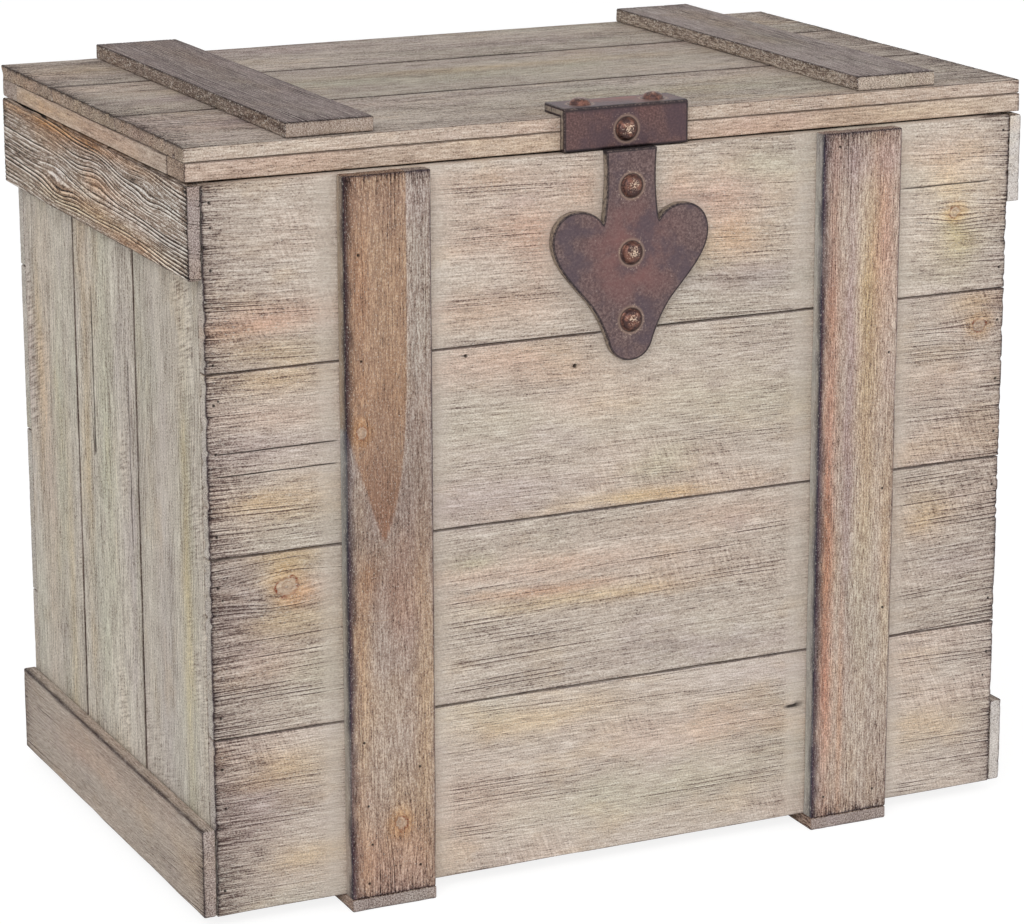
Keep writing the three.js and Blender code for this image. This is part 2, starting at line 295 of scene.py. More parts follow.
def box_in_mm(node):
    low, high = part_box(node)
    return np.array(low) / MM, np.array(high) / MM


# Worn boards. Lengths are in mm: u runs along the grain from the low end, v across it from the low edge, and
# w from the hidden face to the one that looks out.

# What a board looks like unless its own look says otherwise. Pairs are for the middle and the ends where the
# comment says so, and else for the low and the high end.
PLAIN_BOARD = dict(
    seed=1,
    step=(6.0, 1.5),  # grid steps along and across
    ease=1.0,
    pitch=2.3,  # from ring to ring
    heart=(-2.5, -20.0),  # heart of the tree: v in board widths, and w
    tilt=0.0,
    wander=1.0,
    relief=(0.0, 0.0),  # depth of the brushed grooves, in the middle and at the ends
    lines=(0.3, 1.0),  # darkness of the grain, in the middle and at the ends
    steady=0.0,  # how alike the rings are
    chips=(0.3, 0.3),
    shrink=0.15,
    trim=(0.0, 0.0),
    thin=0.0,
    rim=(0.8, 0.8, 1.6),  # widths of the dark rims: low side, high side and both ends
    end_reach=12.0,
    end_weights=(1.0, 1.0),
    knots=(),  # u, v, radius
    bends=(),  # knots of which only the bent grain shows
    holes=(),  # u, v, radius
    cracks=(),  # from u, to u, v, width
    patches={},  # by tint: u, v, reach along, reach across, strength
    vivid=1.0,
    pale=(),  # u, half width
    halo=None,
    paint=None,
    base=(1.0, 1.0, 1.0),
)

TINTS = {
    "ochre": (1.05, 0.95, 0.76),
    "rust": (1.04, 0.84, 0.72),
    "pink": (1.03, 0.91, 0.86),
    "violet": (0.90, 0.87, 0.93),
    "green": (0.96, 1.01, 0.92),
    "gray": (0.97, 1.01, 1.04),
    "dark": (0.70, 0.63, 0.62),
    "light": (1.14, 1.13, 1.11),
    "brown": (0.88, 0.66, 0.48),
    "olive": (0.96, 0.94, 0.76),
    "rose": (1.02, 0.85, 0.80),
}

# Where grid lines crowd together: shares of the ease beside an edge, and of a small spot's radius round it
EDGE_SHARES = (0.12, 0.3, 0.55, 0.85, 1.3, 2.2)
SPOT_SHARES = (-1.5, -1.0, -0.6, -0.2, 0.2, 0.6, 1.0, 1.5)
CLOSEST_LINES = 0.08
LAST_GAP = 0.04

# How far wear reaches from a board's ends and sides, and how wide a ring's groove is as a share of its pitch
CHIP_REACH = 2.5
TRIM_REACH = 15
WAVE_REACH = 4
RELIEF_REACH = 22
LINE_REACH = 40
RING_GROOVE = 0.2
CRACK_END = 6
FACE_SHARE = 0.4  # of the thickness: what counts as the outer face, and the most that an edge is eased
SEED_SHIFT = 137.0  # moves each board to its own place in the noise
NO_KNOT = 50.0  # knot radii, far enough for a knot not to show


def stations(length, step, ease, spots):
    """Places of the grid lines along one side, closer together at the edges and round small spots."""
    lines = list(np.linspace(0, length, max(2, round(length / step) + 1)))
    for share in EDGE_SHARES:
        lines += [share * ease, length - share * ease]
    for place, radius in spots:
        lines += [place + radius * share for share in SPOT_SHARES]
    kept = [0.0]
    for line in sorted(lines):
        if kept[-1] + CLOSEST_LINES < line < length - LAST_GAP:
            kept.append(line)
    return np.array([*kept, length])


def shell_faces(index):
    """Quads of the outside of a block whose grid points are numbered by index, facing out."""
    faces = []
    for axis in range(3):
        layers = np.moveaxis(index, axis, 0)
        for layer, inward in ((layers[0], True), (layers[-1], False)):
            corners = [layer[:-1, :-1], layer[1:, :-1], layer[1:, 1:], layer[:-1, 1:]]
            quads = np.stack(corners, -1).reshape(-1, 4)
            faces.append(quads[:, ::-1] if inward != (axis == 1) else quads)
    return np.concatenate(faces)


def block_shell(size, ease, look):
    """Grid points on the outside of a block, as u, v and w, with the quads between them."""
    small = [(u, r) for u, v, r in look["holes"]] + [(u, r * 1.4) for u, v, r in look["knots"]]
    small += [(u, 1.0) for crack in look["cracks"] for u in crack[:2]] + [(5, 3), (size[0] - 5, 3)]
    across = [(v, r) for u, v, r in (*look["holes"], *look["knots"])]
    across += [(crack[2], crack[3]) for crack in look["cracks"]]
    steps = (*look["step"], size[2] / 3)
    sides = zip(size, steps, (small, across, []))
    lines = [stations(length, step, ease, spots) for length, step, spots in sides]
    counts = [len(line) for line in lines]
    outside = np.ones(counts, dtype=bool)
    outside[1:-1, 1:-1, 1:-1] = False
    index = np.full(counts, -1, dtype=np.int64)
    index[outside] = np.arange(outside.sum())
    i, j, k = np.nonzero(outside)
    return lines[0][i], lines[1][j], lines[2][k], shell_faces(index)


class WornBoard:
    """The points on the outside of one board, and what age has done to them."""

    def __init__(self, size, look):
        self.size = size
        self.look = look
        self.ease = min(look["ease"], size[2] * FACE_SHARE, size[1] * FACE_SHARE)
        self.u, self.v, self.w, self.faces = block_shell(size, self.ease, look)
        self.from_end = np.minimum(self.u, size[0] - self.u)
        self.end_weight = np.where(self.u < size[0] / 2, *look["end_weights"])
        self.flow = self.grain_flow()
        self.rings = self.flow / look["pitch"]
        self.strength = self.ring_strength()
        self.notch = self.strength * bell(self.rings - np.floor(self.rings) - 0.5, RING_GROOVE)

    def rough(self, number, per_u, per_v):
        """Noise over the board. Each number gives another pattern."""
        return noise(self.u * per_u, self.v * per_v, self.w * per_v, self.look["seed"] + number)

    def grain_flow(self):
        """Distance from the heart of the tree, bent by slow wander and by knots."""
        look = self.look
        bent = self.v + look["tilt"] * (self.u - self.size[0] / 2)
        bent = bent + look["wander"] * self.rough(1, 0.008, 0.02)
        bent = bent + 0.3 * look["wander"] * self.rough(2, 0.03, 0.06)
        for knot_u, knot_v, radius in (*look["knots"], *look["bends"]):
            away = np.hypot((self.u - knot_u) / 2.2, self.v - knot_v) / radius
            bent = bent + (knot_v - self.v) * 0.75 * np.exp(-away * away / 5.0)
        return np.hypot(bent - look["heart"][0] * self.size[1], self.w - look["heart"][1])

    def ring_strength(self):
        """How far the soft part of each ring is brushed out, strong in some rings and faint in others."""
        steady = self.look["steady"]
        uneven = noise(np.floor(self.rings) * 0.731, self.u * 0.012, 0.5, self.look["seed"] + 3)
        inland = 0.3 + 0.7 * smooth(self.from_end, 0.2, 1.2)
        return (steady + (1 - steady) * smooth(uneven, -0.2, 0.5)) * inland

    def tint(self):
        """Colour factors of the stained patches."""
        u, v, look = self.u, self.v, self.look
        tint = np.ones((len(u), 3)) * look["base"]
        stains = [(TINTS[kind], *patch) for kind, patches in look["patches"].items() for patch in patches]
        for color, place_u, place_v, reach_u, reach_v, strength in stains:
            du = (u - place_u) / reach_u + 0.3 * noise(u * 0.04, v * 0.1, place_u, look["seed"] + 11)
            dv = (v - place_v) / reach_v + 0.3 * noise(u * 0.04, v * 0.1, place_v, look["seed"] + 12)
            share = strength * look["vivid"] * np.exp(-(du * du + dv * dv))
            tint *= 1 + (np.array(color) - 1) * share[:, None]
        return tint

    def sunk_marks(self, groove):
        """How far each point has sunk, and the mask of the nail holes and cracks."""
        u, v, look = self.u, self.v, self.look
        facing = self.size[2] - self.w < self.size[2] * FACE_SHARE
        sink = groove + 0.05 * (1 + self.rough(6, 0.03, 0.07))
        dark = np.zeros(len(u))
        for hole_u, hole_v, radius in look["holes"]:
            away = np.hypot(u - hole_u, v - hole_v) / radius
            sink = sink + facing * (1 - smooth(away, 0.5, 1.15)) * radius * 0.9
            dark = np.maximum(dark, facing * (1 - smooth(away, 0.7, 1.3)))
        for start, end, crack_v, width in look["cracks"]:
            within = smooth(u, start, start + CRACK_END) * (1 - smooth(u, end - CRACK_END, end))
            drift = crack_v + 0.5 * noise(u * 0.08, 0.5, 0.5, look["seed"] + 13)
            line = bell(v - drift, width) * within
            sink = sink + facing * line * width
            dark = np.maximum(dark, facing * np.clip(line * 1.6, 0, 1))
        return sink, dark

    def worn_points(self, groove):
        """The points after wear, and the mask of the nail holes and cracks."""
        u, v, w, size, look = self.u, self.v, self.w, self.size, self.look

        # Rounded edges, more worn in some places than in others, and all that is sunk into the surface
        centre = size[:, None] / 2
        points = np.stack([u, v, w]) - centre
        wear = self.ease * (0.8 + 0.35 * self.rough(5, 0.05, 0.05))
        inner = np.clip(points, -(centre - wear), centre - wear)
        normal = points - inner
        normal = normal / np.maximum(np.linalg.norm(normal, axis=0), 1e-9)
        sink, dark = self.sunk_marks(groove)
        points = inner + normal * wear - normal * sink

        # Chipped ends, a trimmed length, wavy sides and a thinned face
        low_end = points[0] < 0
        ragged = np.clip(noise(v * 0.35, w * 0.12, 0.5, look["seed"] + 7) + 0.8 * groove, 0, 1.4)
        ragged = ragged * np.where(low_end, *look["chips"])
        points[0] -= np.sign(points[0]) * ragged * fade(self.from_end, CHIP_REACH)
        points[0] += np.where(low_end, look["trim"][0], -look["trim"][1]) * fade(self.from_end, TRIM_REACH)
        side = np.sign(points[1])
        waves = look["shrink"] + 0.15 * (1 + noise(u * 0.025, side * 3, 0.5, look["seed"] + 8))
        points[1] -= side * waves * fade(np.minimum(v, size[1] - v), WAVE_REACH)
        points = points + centre
        points[2] *= (size[2] - look["thin"]) / size[2]
        return points, dark

    def edge_masks(self, placed):
        """Dark rims, darkened ends and pale worn stretches, each from 0 to 1."""
        u, v, size, look = self.u, self.v, self.size, self.look
        ragged = 0.85 + 0.4 * self.rough(9, 0.12, 0.3)
        slow = 0.5 + 0.5 * self.rough(10, 0.02, 0.05)
        at_end = ragged * (0.7 + 2.0 * self.notch)
        rim = np.zeros(len(u))
        sides = zip((v, size[1] - v, self.from_end), look["rim"], (ragged, ragged, at_end))
        for distance, width, uneven in sides:
            if width:
                rim = np.maximum(rim, bell(distance + size[2] - self.w, width * uneven))
        end_shade = fade(self.from_end, look["end_reach"] * (0.35 + 1.1 * slow)) * self.end_weight
        pale = np.zeros(len(u))
        for place, half_width in look["pale"]:
            strip = np.exp(-(((u - place) / half_width) ** 4))
            pale = np.maximum(pale, strip * (0.65 + 0.35 * slow))
        if look["halo"]:
            pale = np.maximum(pale, look["halo"](placed))
        return rim, end_shade, pale

    def knot_places(self):
        """Place of each point seen from the nearest knot, in knot radii."""
        places = np.full((len(self.u), 3), NO_KNOT)
        for knot_u, knot_v, radius in self.look["knots"]:
            shift_u = (self.u - knot_u) / (1.15 * radius)
            seen = np.stack([shift_u, (self.v - knot_v) / radius, np.zeros(len(self.u))], -1)
            closer = np.linalg.norm(seen, axis=1) < np.linalg.norm(places, axis=1)
            places[closer] = seen[closer]
        return places


def put_skins(mesh, skins):
    """Gives each face the skin of the direction that it looks in."""
    normals = np.empty(len(mesh.polygons) * 3)
    mesh.polygons.foreach_get("normal", normals)
    slots = np.zeros(len(mesh.polygons), dtype=np.int32)
    for number, (direction, _) in enumerate(skins):
        sign = 1 if direction[0] == "+" else -1
        slots[normals.reshape(-1, 3)[:, "xyz".index(direction[1])] * sign > 0.75] = number + 1
    mesh.polygons.foreach_set("material_index", slots)


def board(node, along, out, skin, skins=(), **changes):
    """A worn board in place of a CAD board, with other skins on the faces that look in their directions."""
    look = {**PLAIN_BOARD, **changes}
    low, high = box_in_mm(node)
    out_axis, along_axis = "xyz".index(out[1]), "xyz".index(along)
    order = [along_axis, 3 - out_axis - along_axis, out_axis]
    worn = WornBoard((high - low)[order], look)
    depth = between(look["relief"], fade(worn.from_end, RELIEF_REACH) * worn.end_weight)
    darkness = between(look["lines"], fade(worn.from_end, LINE_REACH) * worn.end_weight)
    points, dark_spot = worn.worn_points(depth * worn.notch)

    placed = np.zeros((len(worn.u), 3))
    placed[:, order] = (low[order, None] + points).T
    if out[0] == "-":
        placed[:, out_axis] = high[out_axis] - points[2]
    tint, calm = worn.tint(), np.zeros(len(worn.u))
    if look["paint"]:
        tint, calm = look["paint"](worn.u, worn.v, tint)

    turned = order in ([0, 1, 2], [1, 2, 0], [2, 0, 1])
    faces = worn.faces if turned == (out[0] == "+") else worn.faces[:, ::-1]
    made = mesh_object(f"{node}_wood", placed * MM, faces, [skin, *[other for _, other in skins]])
    mesh = made.data
    shift = look["seed"] * SEED_SHIFT
    store(mesh, "grain", "FLOAT_VECTOR", np.stack([worn.u, worn.v, worn.w], -1) + shift)
    store(mesh, "flow", "FLOAT", worn.flow + shift)
    store(mesh, "rings", "FLOAT", worn.rings)
    store_masks(mesh, "masks", *worn.edge_masks(placed))
    store_masks(mesh, "marks", worn.strength * darkness, dark_spot, calm)
    store(mesh, "knots", "FLOAT_VECTOR", worn.knot_places())
    store_masks(mesh, "tint", *tint.T)
    put_skins(mesh, skins)
    stand_for(made, node)


# Wood materials

def wood_noises(g, length):
    """The noises that colour the wood. Some are stretched along the grain, the others along the board."""
    grain = g.attribute("grain", "Vector")
    u, v, w = g.split(grain)
    flow = g.attribute("flow")

    def along_flow(per_u, per_flow, per_w):
        return g.join(u * per_u, flow * per_flow, w * per_w)

    def along_board(per_u, per_v):
        return g.vector("MULTIPLY", grain, (per_u, per_v, per_v))

    return SimpleNamespace(
        fibre=g.noise(along_flow(0.17 / length, 1.4, 1.4), 2.0, 0.62, 0.25),
        strand=g.noise(along_flow(0.012, 1.1, 0.8)),
        zone=g.noise(along_flow(0.010, 0.05, 0.03)),
        broad=g.noise(along_flow(0.006, 0.07, 0.04)),
        cloud=g.noise(along_board(0.016, 0.034), 4.0, 0.6),
        drift=g.noise(along_board(0.007, 0.017)),
        grit=g.noise(along_board(1.0, 1.4), 2.0, 0.6),
        fleck=g.noise(along_board(0.8, 1.5), 1.0),
        lump=g.noise(along_board(0.16, 0.16), 1.0),
        hatch=g.noise(g.join((u + v * 0.35) * 0.7, v * 0.07, 0.0)),
    )


def grain_lines(g, seen, strength, end_shade, pale):
    """Dark lines that follow the rings or wander on their own, and the painted highlights beside them: pale
    lines on the lit side of each groove.
    """
    phase = g.math("FRACT", g.attribute("rings"))
    broken = seen.fibre.span(0.36, 0.52, 0.55, 1.0) * seen.zone.span(0.40, 0.60, 0.45, 1.1)
    present = strength * broken.larger(end_shade)
    wander = abs(seen.strand - 0.5).span(0.07, 0.01)
    where = seen.zone.span(0.44, 0.62, 0.06, 0.24).larger(end_shade * 0.6)
    kept = 1.0 - pale * 0.75
    dark = (abs(phase - 0.5).span(0.18, 0.06) * present).larger(wander * where) * kept
    # The second mask is a painted highlight: a pale line on one side of each ring line, where light would
    # catch the groove's edge.
    return dark, abs(phase - 0.80).span(0.18, 0.05) * present * kept


def knot_color(g, seen, color):
    """Knots: a pale face inside a broken red brown ring, with an ochre glow round it."""
    away = g.vector("LENGTH", g.attribute("knots", "Vector")) + (seen.grit - 0.5) * 0.6
    away = away + (seen.lump - 0.5) * 1.2
    color = g.dye(away.span(3.2, 1.2, 0.0, 0.8), color, (1.02, 0.88, 0.68, 1))
    color = g.mix(away.span(1.05, 0.8, 0.0, 0.45), color, srgb(208, 190, 172))
    ring = abs(away - 1.05).span(0.26, 0.06) * seen.grit.span(0.40, 0.54, 0.15, 1.0)
    color = g.mix(ring * seen.lump.span(0.40, 0.56, 1.0, 0.35), color, srgb(132, 66, 40))
    return g.mix(abs(away - 0.5).span(0.14, 0.03, 0.0, 0.45), color, srgb(146, 110, 88))


def stained(g, seen, color):
    """Slow changes of colour over the board, and the patches of its own look."""
    color = g.dye(seen.cloud.span(0.52, 0.70, 0.0, 0.55), color, (1.03, 0.96, 0.84, 1))
    color = g.dye(seen.drift.span(0.53, 0.72, 0.0, 0.6), color, (1.02, 0.94, 0.91, 1))
    color = g.dye(seen.drift.span(0.46, 0.28, 0.0, 0.7), color, (0.94, 0.99, 0.96, 1))
    color = g.dye(seen.cloud.span(0.44, 0.32, 0.0, 0.5), color, (0.93, 0.91, 0.97, 1))
    patched = g.dye(1.0, color, g.attribute("tint", "Color"))
    return g.mix(seen.fibre.span(0.36, 0.52, 0.7, 1.0), color, patched)


def wood(name, groove, middle, ridge, texture=1.0, lines=1.0, length=1.0, lit_edge=0.22, ends=1.0,
         rim=(0.11, 0.08, 0.11), bump=1.0, saw=0.0, speckle=0.4):
    """Brushed and whitewashed wood. Texture sets how strong the fibres are, and lines the dark grain."""
    groove, middle, ridge = [srgb(*color) for color in (groove, middle, ridge)]
    g = Graph(bpy.data.materials.new(name))
    seen = wood_noises(g, length)
    rim_mask, end_shade, pale = g.split(g.attribute("masks", "Color"))
    strength, dark_spot, calm = g.split(g.attribute("marks", "Color"))
    end_shade = end_shade * ends
    dark_line, lit_edge_line = grain_lines(g, seen, strength, end_shade, pale)

    # Light and dark of the fibres
    sawn = seen.drift.span(0.52, 0.66, 0.0, saw) * (seen.hatch - 0.5)
    height = seen.fibre * 0.52 + seen.grit * 0.48 + sawn
    soft = 1.0 - (pale * 0.45).larger(calm * 0.2)
    strong = end_shade * (0.9 * texture) + 2.1 * texture
    tone = (height - 0.5) * (soft * strong) + (seen.broad - 0.5) * (0.22 * texture)
    # Painted highlight: the pale line beside each dark grain line lightens the tone as if light caught the
    # groove's edge.
    tone = tone - dark_line * (0.85 * lines) + lit_edge_line * (lit_edge * lines)
    tone = tone - end_shade * (0.12 * lines) + pale * 0.06 + 0.52
    lightest = tuple(min(1.0, c * 1.16) for c in ridge)
    dull = tuple(0.3 * dark + 0.7 * plain for dark, plain in zip(groove, middle))
    color = g.ramp(tone, [(0.04, groove), (0.24, dull), (0.48, middle), (0.74, ridge), (0.94, lightest)])
    color = g.mix(pale * 0.3, stained(g, seen, color), ridge)
    color = knot_color(g, seen, color)

    # Ends, rims, crumbs and holes
    color = g.dye(end_shade * seen.fibre.span(0.62, 0.40, 0.15, 0.7), color, (0.66, 0.61, 0.64, 1))
    color = g.dye(rim_mask * seen.cloud.span(0.34, 0.52, 0.75, 1.0), color, (*rim, 1))
    color = g.dye(seen.grit.span(0.36, 0.27, 0.0, speckle), color, (0.50, 0.42, 0.39, 1))
    color = g.mix(seen.fleck.span(0.62, 0.70, 0.0, speckle), color, srgb(238, 232, 221))
    color = g.mix(dark_spot * 0.92, color, srgb(40, 30, 26))
    raised = height - dark_line * 0.35
    return g.finish(color, tone.span(0.2, 0.8, 0.90, 0.68), raised, 0.9, 1.3 * bump, specular=0.25)


wall_wood = wood("wall_wood", (106, 88, 82), (198, 183, 169), (226, 215, 203), texture=1.25, length=2.2,
                 lit_edge=0.30, saw=0.28)
wall_end_wood = wood("wall_end_wood", (116, 104, 96), (197, 189, 178), (221, 214, 204), texture=1.7,
                     lines=0.5, ends=0.25, rim=(0.14, 0.11, 0.14))
side_wood = wood("side_wood", (116, 101, 91), (198, 188, 174), (219, 211, 198), texture=1.9, lines=1.2,
                 length=2.6, saw=0.5, bump=0.8, rim=(0.12, 0.07, 0.06))
upright_wood = wood("upright_wood", (84, 62, 54), (171, 146, 130), (205, 184, 167), texture=1.4, lines=0.7,
                    length=1.2, rim=(0.13, 0.10, 0.17))
upright_side_wood = wood("upright_side_wood", (100, 90, 84), (168, 160, 150), (192, 185, 175), texture=0.7,
                         lines=0.6, length=1.7, rim=(0.09, 0.08, 0.14))
top_side_wood = wood("top_side_wood", (34, 23, 18), (161, 140, 123), (232, 225, 216), texture=1.3,
                     lines=1.9, length=1.6, lit_edge=0.55, bump=1.4, rim=(0.10, 0.06, 0.06))
low_side_wood = wood("low_side_wood", (88, 73, 66), (180, 165, 152), (208, 196, 183), texture=1.1,
                     length=1.5, rim=(0.12, 0.09, 0.10))
end_wood = wood("end_wood", (96, 80, 76), (170, 154, 147), (204, 191, 184), texture=1.7, lines=0.8,
                ends=0.2, rim=(0.10, 0.07, 0.10), speckle=0.15)
pale_end_wood = wood("pale_end_wood", (112, 94, 82), (183, 165, 149), (214, 200, 186), texture=1.5,
                     lines=0.5, ends=0.2, rim=(0.12, 0.09, 0.09), speckle=0.2)
right_end_wood = wood("right_end_wood", (132, 120, 112), (222, 213, 206), (238, 232, 226), texture=1.5,
                      lines=0.5, ends=0.1, rim=(0.13, 0.10, 0.11), speckle=0.2)
plank_end_wood = wood("plank_end_wood", (80, 61, 52), (170, 148, 129), (202, 184, 166), texture=1.7,
                      ends=0.4, rim=(0.09, 0.06, 0.06), speckle=0.25)
lid_wood = wood("lid_wood", (76, 62, 58), (172, 157, 145), (203, 191, 179), texture=1.9, lines=1.2,
                length=2.4, saw=0.2, rim=(0.10, 0.07, 0.07))
rail_wood = wood("rail_wood", (106, 84, 73), (198, 178, 162), (223, 208, 194), texture=1.3, lines=0.5,
                 length=1.8, rim=(0.13, 0.09, 0.09))
lid_batten_wood = wood("lid_batten_wood", (60, 48, 50), (134, 121, 117), (172, 160, 154), texture=1.2,
                       lines=1.2, length=2.8, rim=(0.13, 0.09, 0.11))
speckled_wood = wood("speckled_wood", (66, 50, 44), (132, 115, 103), (184, 169, 154), texture=1.5,
                     lines=0.5, rim=(0.13, 0.09, 0.09), speckle=0.8)
floor_wood = wood("floor_wood", (104, 84, 68), (176, 157, 134), (202, 186, 164), texture=0.8)


# Iron shapes that the boards need to know of

def bezier(start, first, second, end, count):
    """Points on a curve from the start up to just before the end."""
    t = np.linspace(0, 1, count, endpoint=False)[:, None]
    return (1 - t) ** 3 * start + 3 * (1 - t) ** 2 * t * first + 3 * (1 - t) * t * t * second + t**3 * end


def plate_outline():
    """Closed outline of the heart plate in X and Z, in mm, clockwise from its top middle."""
    low, high = box_in_mm("heart_plate")
    half, height, middle = (high[0] - low[0]) / 2, high[2] - low[2], (high[0] + low[0]) / 2
    curves = [
        (0.30, 0.10, 0.305, 0.20, 0.353, 0.339),
        (0.41, 0.295, 0.53, 0.268, 0.677, 0.268),
        (0.86, 0.268, 1.00, 0.325, 1.00, 0.405),
        (1.00, 0.50, 0.82, 0.582, 0.559, 0.699),
        (0.44, 0.755, 0.335, 0.84, 0.275, 0.919),
        (0.235, 0.965, 0.14, 1.00, 0.0, 1.00),
    ]
    start = np.array([0.323, 0.0])
    stretches = [bezier(np.zeros(2), start / 3, start * 2 / 3, start, 3)]
    for ax, ay, bx, by, x, y in curves:
        end = np.array([x, y])
        stretches.append(bezier(start, np.array([ax, ay]), np.array([bx, by]), end, 22))
        start = end
    right_side = np.concatenate(stretches)
    left_side = right_side[:0:-1] * (-1, 1)
    shares = np.concatenate([right_side, [[0.0, 1.0]], left_side])
    return np.stack([middle + shares[:, 0] * half, high[2] - shares[:, 1] * height], -1)


HEART = plate_outline()
HALO_WIDTH = 3.4


def distance_to_outline(x, z, outline):
    """Distance from points to a closed outline, in mm."""
    nearest = np.full(len(x), np.inf)
    for (ax, az), (bx, bz) in zip(outline, np.roll(outline, -1, axis=0)):
        squared = (bx - ax) ** 2 + (bz - az) ** 2
        share = np.clip(((x - ax) * (bx - ax) + (z - az) * (bz - az)) / max(squared, 1e-9), 0, 1)
        nearest = np.minimum(nearest, np.hypot(x - ax - share * (bx - ax), z - az - share * (bz - az)))
    return nearest


def plate_halo(placed):
    """The pale line on the boards along the edge of the heart plate."""
    return 0.9 * bell(distance_to_outline(placed[:, 0], placed[:, 2], HEART), HALO_WIDTH)


# Walls

PALE_STRIPS = [(67.5, 6.5), (128.5, 6.5), (349.5, 6.5), (410.5, 6.5)]
BOARD_NAILS = [(4.5, 83, 0.8), (4.5, 13, 0.8), (475.8, 82, 0.8), (475.8, 14, 0.8)]
front_looks = {
    1: dict(
        seed=11, tilt=0.012, end_reach=24.0, base=(1.12, 1.13, 1.15), lines=(0.5, 1.0),
        steady=0.05, relief=(0.14, 0.6), cracks=[(340, 356, 66, 0.9), (347, 356, 66.4, 1.7)],
        patches=dict(
            dark=[(16, 50, 40, 60, 0.35)],
            ochre=[(42, 78, 26, 9, 0.8), (52, 26, 22, 8, 0.7), (185, 84, 60, 10, 0.7),
                   (440, 40, 30, 12, 0.5)],
            violet=[(20, 60, 18, 16, 0.6), (340, 90, 60, 8, 0.4)],
            pink=[(300, 60, 70, 16, 0.6), (150, 40, 30, 20, 0.5)],
            green=[(260, 30, 80, 14, 0.6)],
        ),
        holes=[(4.5, 82, 0.8), (4.5, 14, 0.8), (6, 60, 0.7), (476, 80, 0.8), (474, 66, 0.7)],
    ),
    2: dict(
        seed=23, tilt=-0.02, pitch=2.2, end_reach=26.0, lines=(0.75, 1.0), steady=0.15, relief=(0.2, 0.6),
        knots=[(42.8, 79, 5.0)],
        patches=dict(
            dark=[(16, 50, 40, 60, 0.18)],
            ochre=[(43, 92, 20, 9, 1.0), (45, 60, 26, 9, 0.7), (215, 50, 60, 5, 0.7),
                   (432, 70, 16, 12, 0.7)],
            rust=[(52, 74, 12, 8, 0.7), (190, 57, 45, 3.5, 0.8)],
            pink=[(30, 40, 25, 12, 0.5), (210, 70, 70, 8, 0.9), (300, 86, 60, 9, 0.6)],
            violet=[(14, 70, 14, 26, 0.6), (300, 10, 90, 8, 0.5), (455, 40, 26, 10, 0.5)],
            green=[(60, 30, 20, 16, 0.5), (150, 78, 14, 5, 0.9)],
        ),
        holes=[(4.5, 83, 0.8), (4.5, 12, 0.8), (7, 76, 0.6), (476, 82, 0.8), (476, 14, 0.8)],
    ),
    3: dict(
        seed=37, tilt=0.02, end_reach=26.0, base=(1.03, 1.02, 1.02), lines=(0.4, 1.0),
        relief=(0.1, 0.6), knots=[(464, 78, 3.6)],
        patches=dict(
            rust=[(200, 82, 34, 12, 0.45)],
            pink=[(160, 90, 40, 10, 0.7), (230, 60, 50, 10, 0.5), (35, 74, 30, 8, 0.5),
                  (440, 50, 30, 12, 0.5)],
            ochre=[(252, 4, 40, 5, 1.0), (40, 92, 28, 8, 0.7), (40, 26, 34, 10, 0.7),
                   (460, 92, 20, 8, 0.7)],
            green=[(265, 20, 20, 10, 0.8), (300, 55, 90, 16, 0.5)],
            violet=[(150, 12, 60, 12, 0.7), (30, 56, 40, 10, 0.6)],
        ),
        cracks=[(141, 149, 93.5, 0.5), (206, 213, 81, 0.6), (2, 74, 56, 0.35), (2, 74, 44, 0.3)],
        holes=[(4.5, 82, 0.8), (5, 56, 0.8), (4.5, 12, 0.8), (7, 84, 0.6), (476, 80, 0.8), (476, 46, 0.8),
               (476, 15, 0.8), (146, 93.5, 1.0), (210, 81.3, 1.2)],
    ),
    4: dict(
        seed=53, tilt=0.035, pitch=2.2, end_reach=15.0, lines=(0.5, 1.0), relief=(0.12, 0.6),
        knots=[(446, 46, 3.0)],
        patches=dict(
            dark=[(14, 50, 36, 60, 0.2)],
            pink=[(40, 26, 40, 9, 0.9), (175, 60, 60, 14, 0.8), (150, 86, 50, 10, 0.6),
                  (430, 80, 50, 12, 0.5), (290, 66, 40, 12, 0.4), (302, 60, 20, 30, 0.9),
                  (188, 50, 18, 30, 0.8)],
            rust=[(30, 22, 22, 5, 0.5), (160, 20, 40, 12, 0.5), (214, 78, 12, 16, 0.5),
                  (272, 78, 10, 16, 0.5)],
            ochre=[(40, 8, 30, 8, 0.6), (300, 40, 36, 10, 0.5), (440, 66, 12, 12, 0.5)],
            violet=[(300, 22, 50, 9, 0.5)],
            olive=[(447, 30, 12, 18, 1.0)],
            light=[(440, 50, 40, 40, 0.9)],
            green=[(320, 84, 30, 8, 0.6)],
        ),
        cracks=[(408, 470, 62, 0.3)],
        holes=[(4.5, 89, 0.8), (4.8, 76, 0.7), (4.5, 54, 0.8), (4.5, 4.6, 0.8), (476, 90, 0.8),
               (476, 12, 0.8)],
    ),
}
WALL_ENDS = [("-x", wall_end_wood), ("+x", wall_end_wood)]
for row, look in front_looks.items():
    board(f"front_board_{row}", "x", "-y", wall_wood, WALL_ENDS, step=(5.0, 0.62), ease=0.8, shrink=0.06,
          chips=(1.3, 1.0), rim=(0.6, 0.6 if row < 4 else 0.0, 1.9), vivid=1.3, end_weights=(1.0, 0.6),
          pale=PALE_STRIPS, halo=plate_halo if row > 2 else None, **look)
for row in range(1, 5):
    board(f"back_board_{row}", "x", "+y", wall_wood, WALL_ENDS, seed=60 + row * 7, step=(9.0, 1.6),
          shrink=0.0, relief=(0.1, 0.5), chips=(0.15, 0.4), rim=(0.4, 0.4, 1.1), end_reach=18.0,
          tilt=0.02 * (-1) ** row, pale=PALE_STRIPS, holes=BOARD_NAILS,
          patches=dict(
              pink=[(60 * row, 60, 70, 14, 0.6)],
              ochre=[(460 - 80 * row, 30, 60, 12, 0.6)],
              green=[(240, 20 * row, 90, 12, 0.4)],
              violet=[(90 * row, 20, 60, 10, 0.5)],
          ))

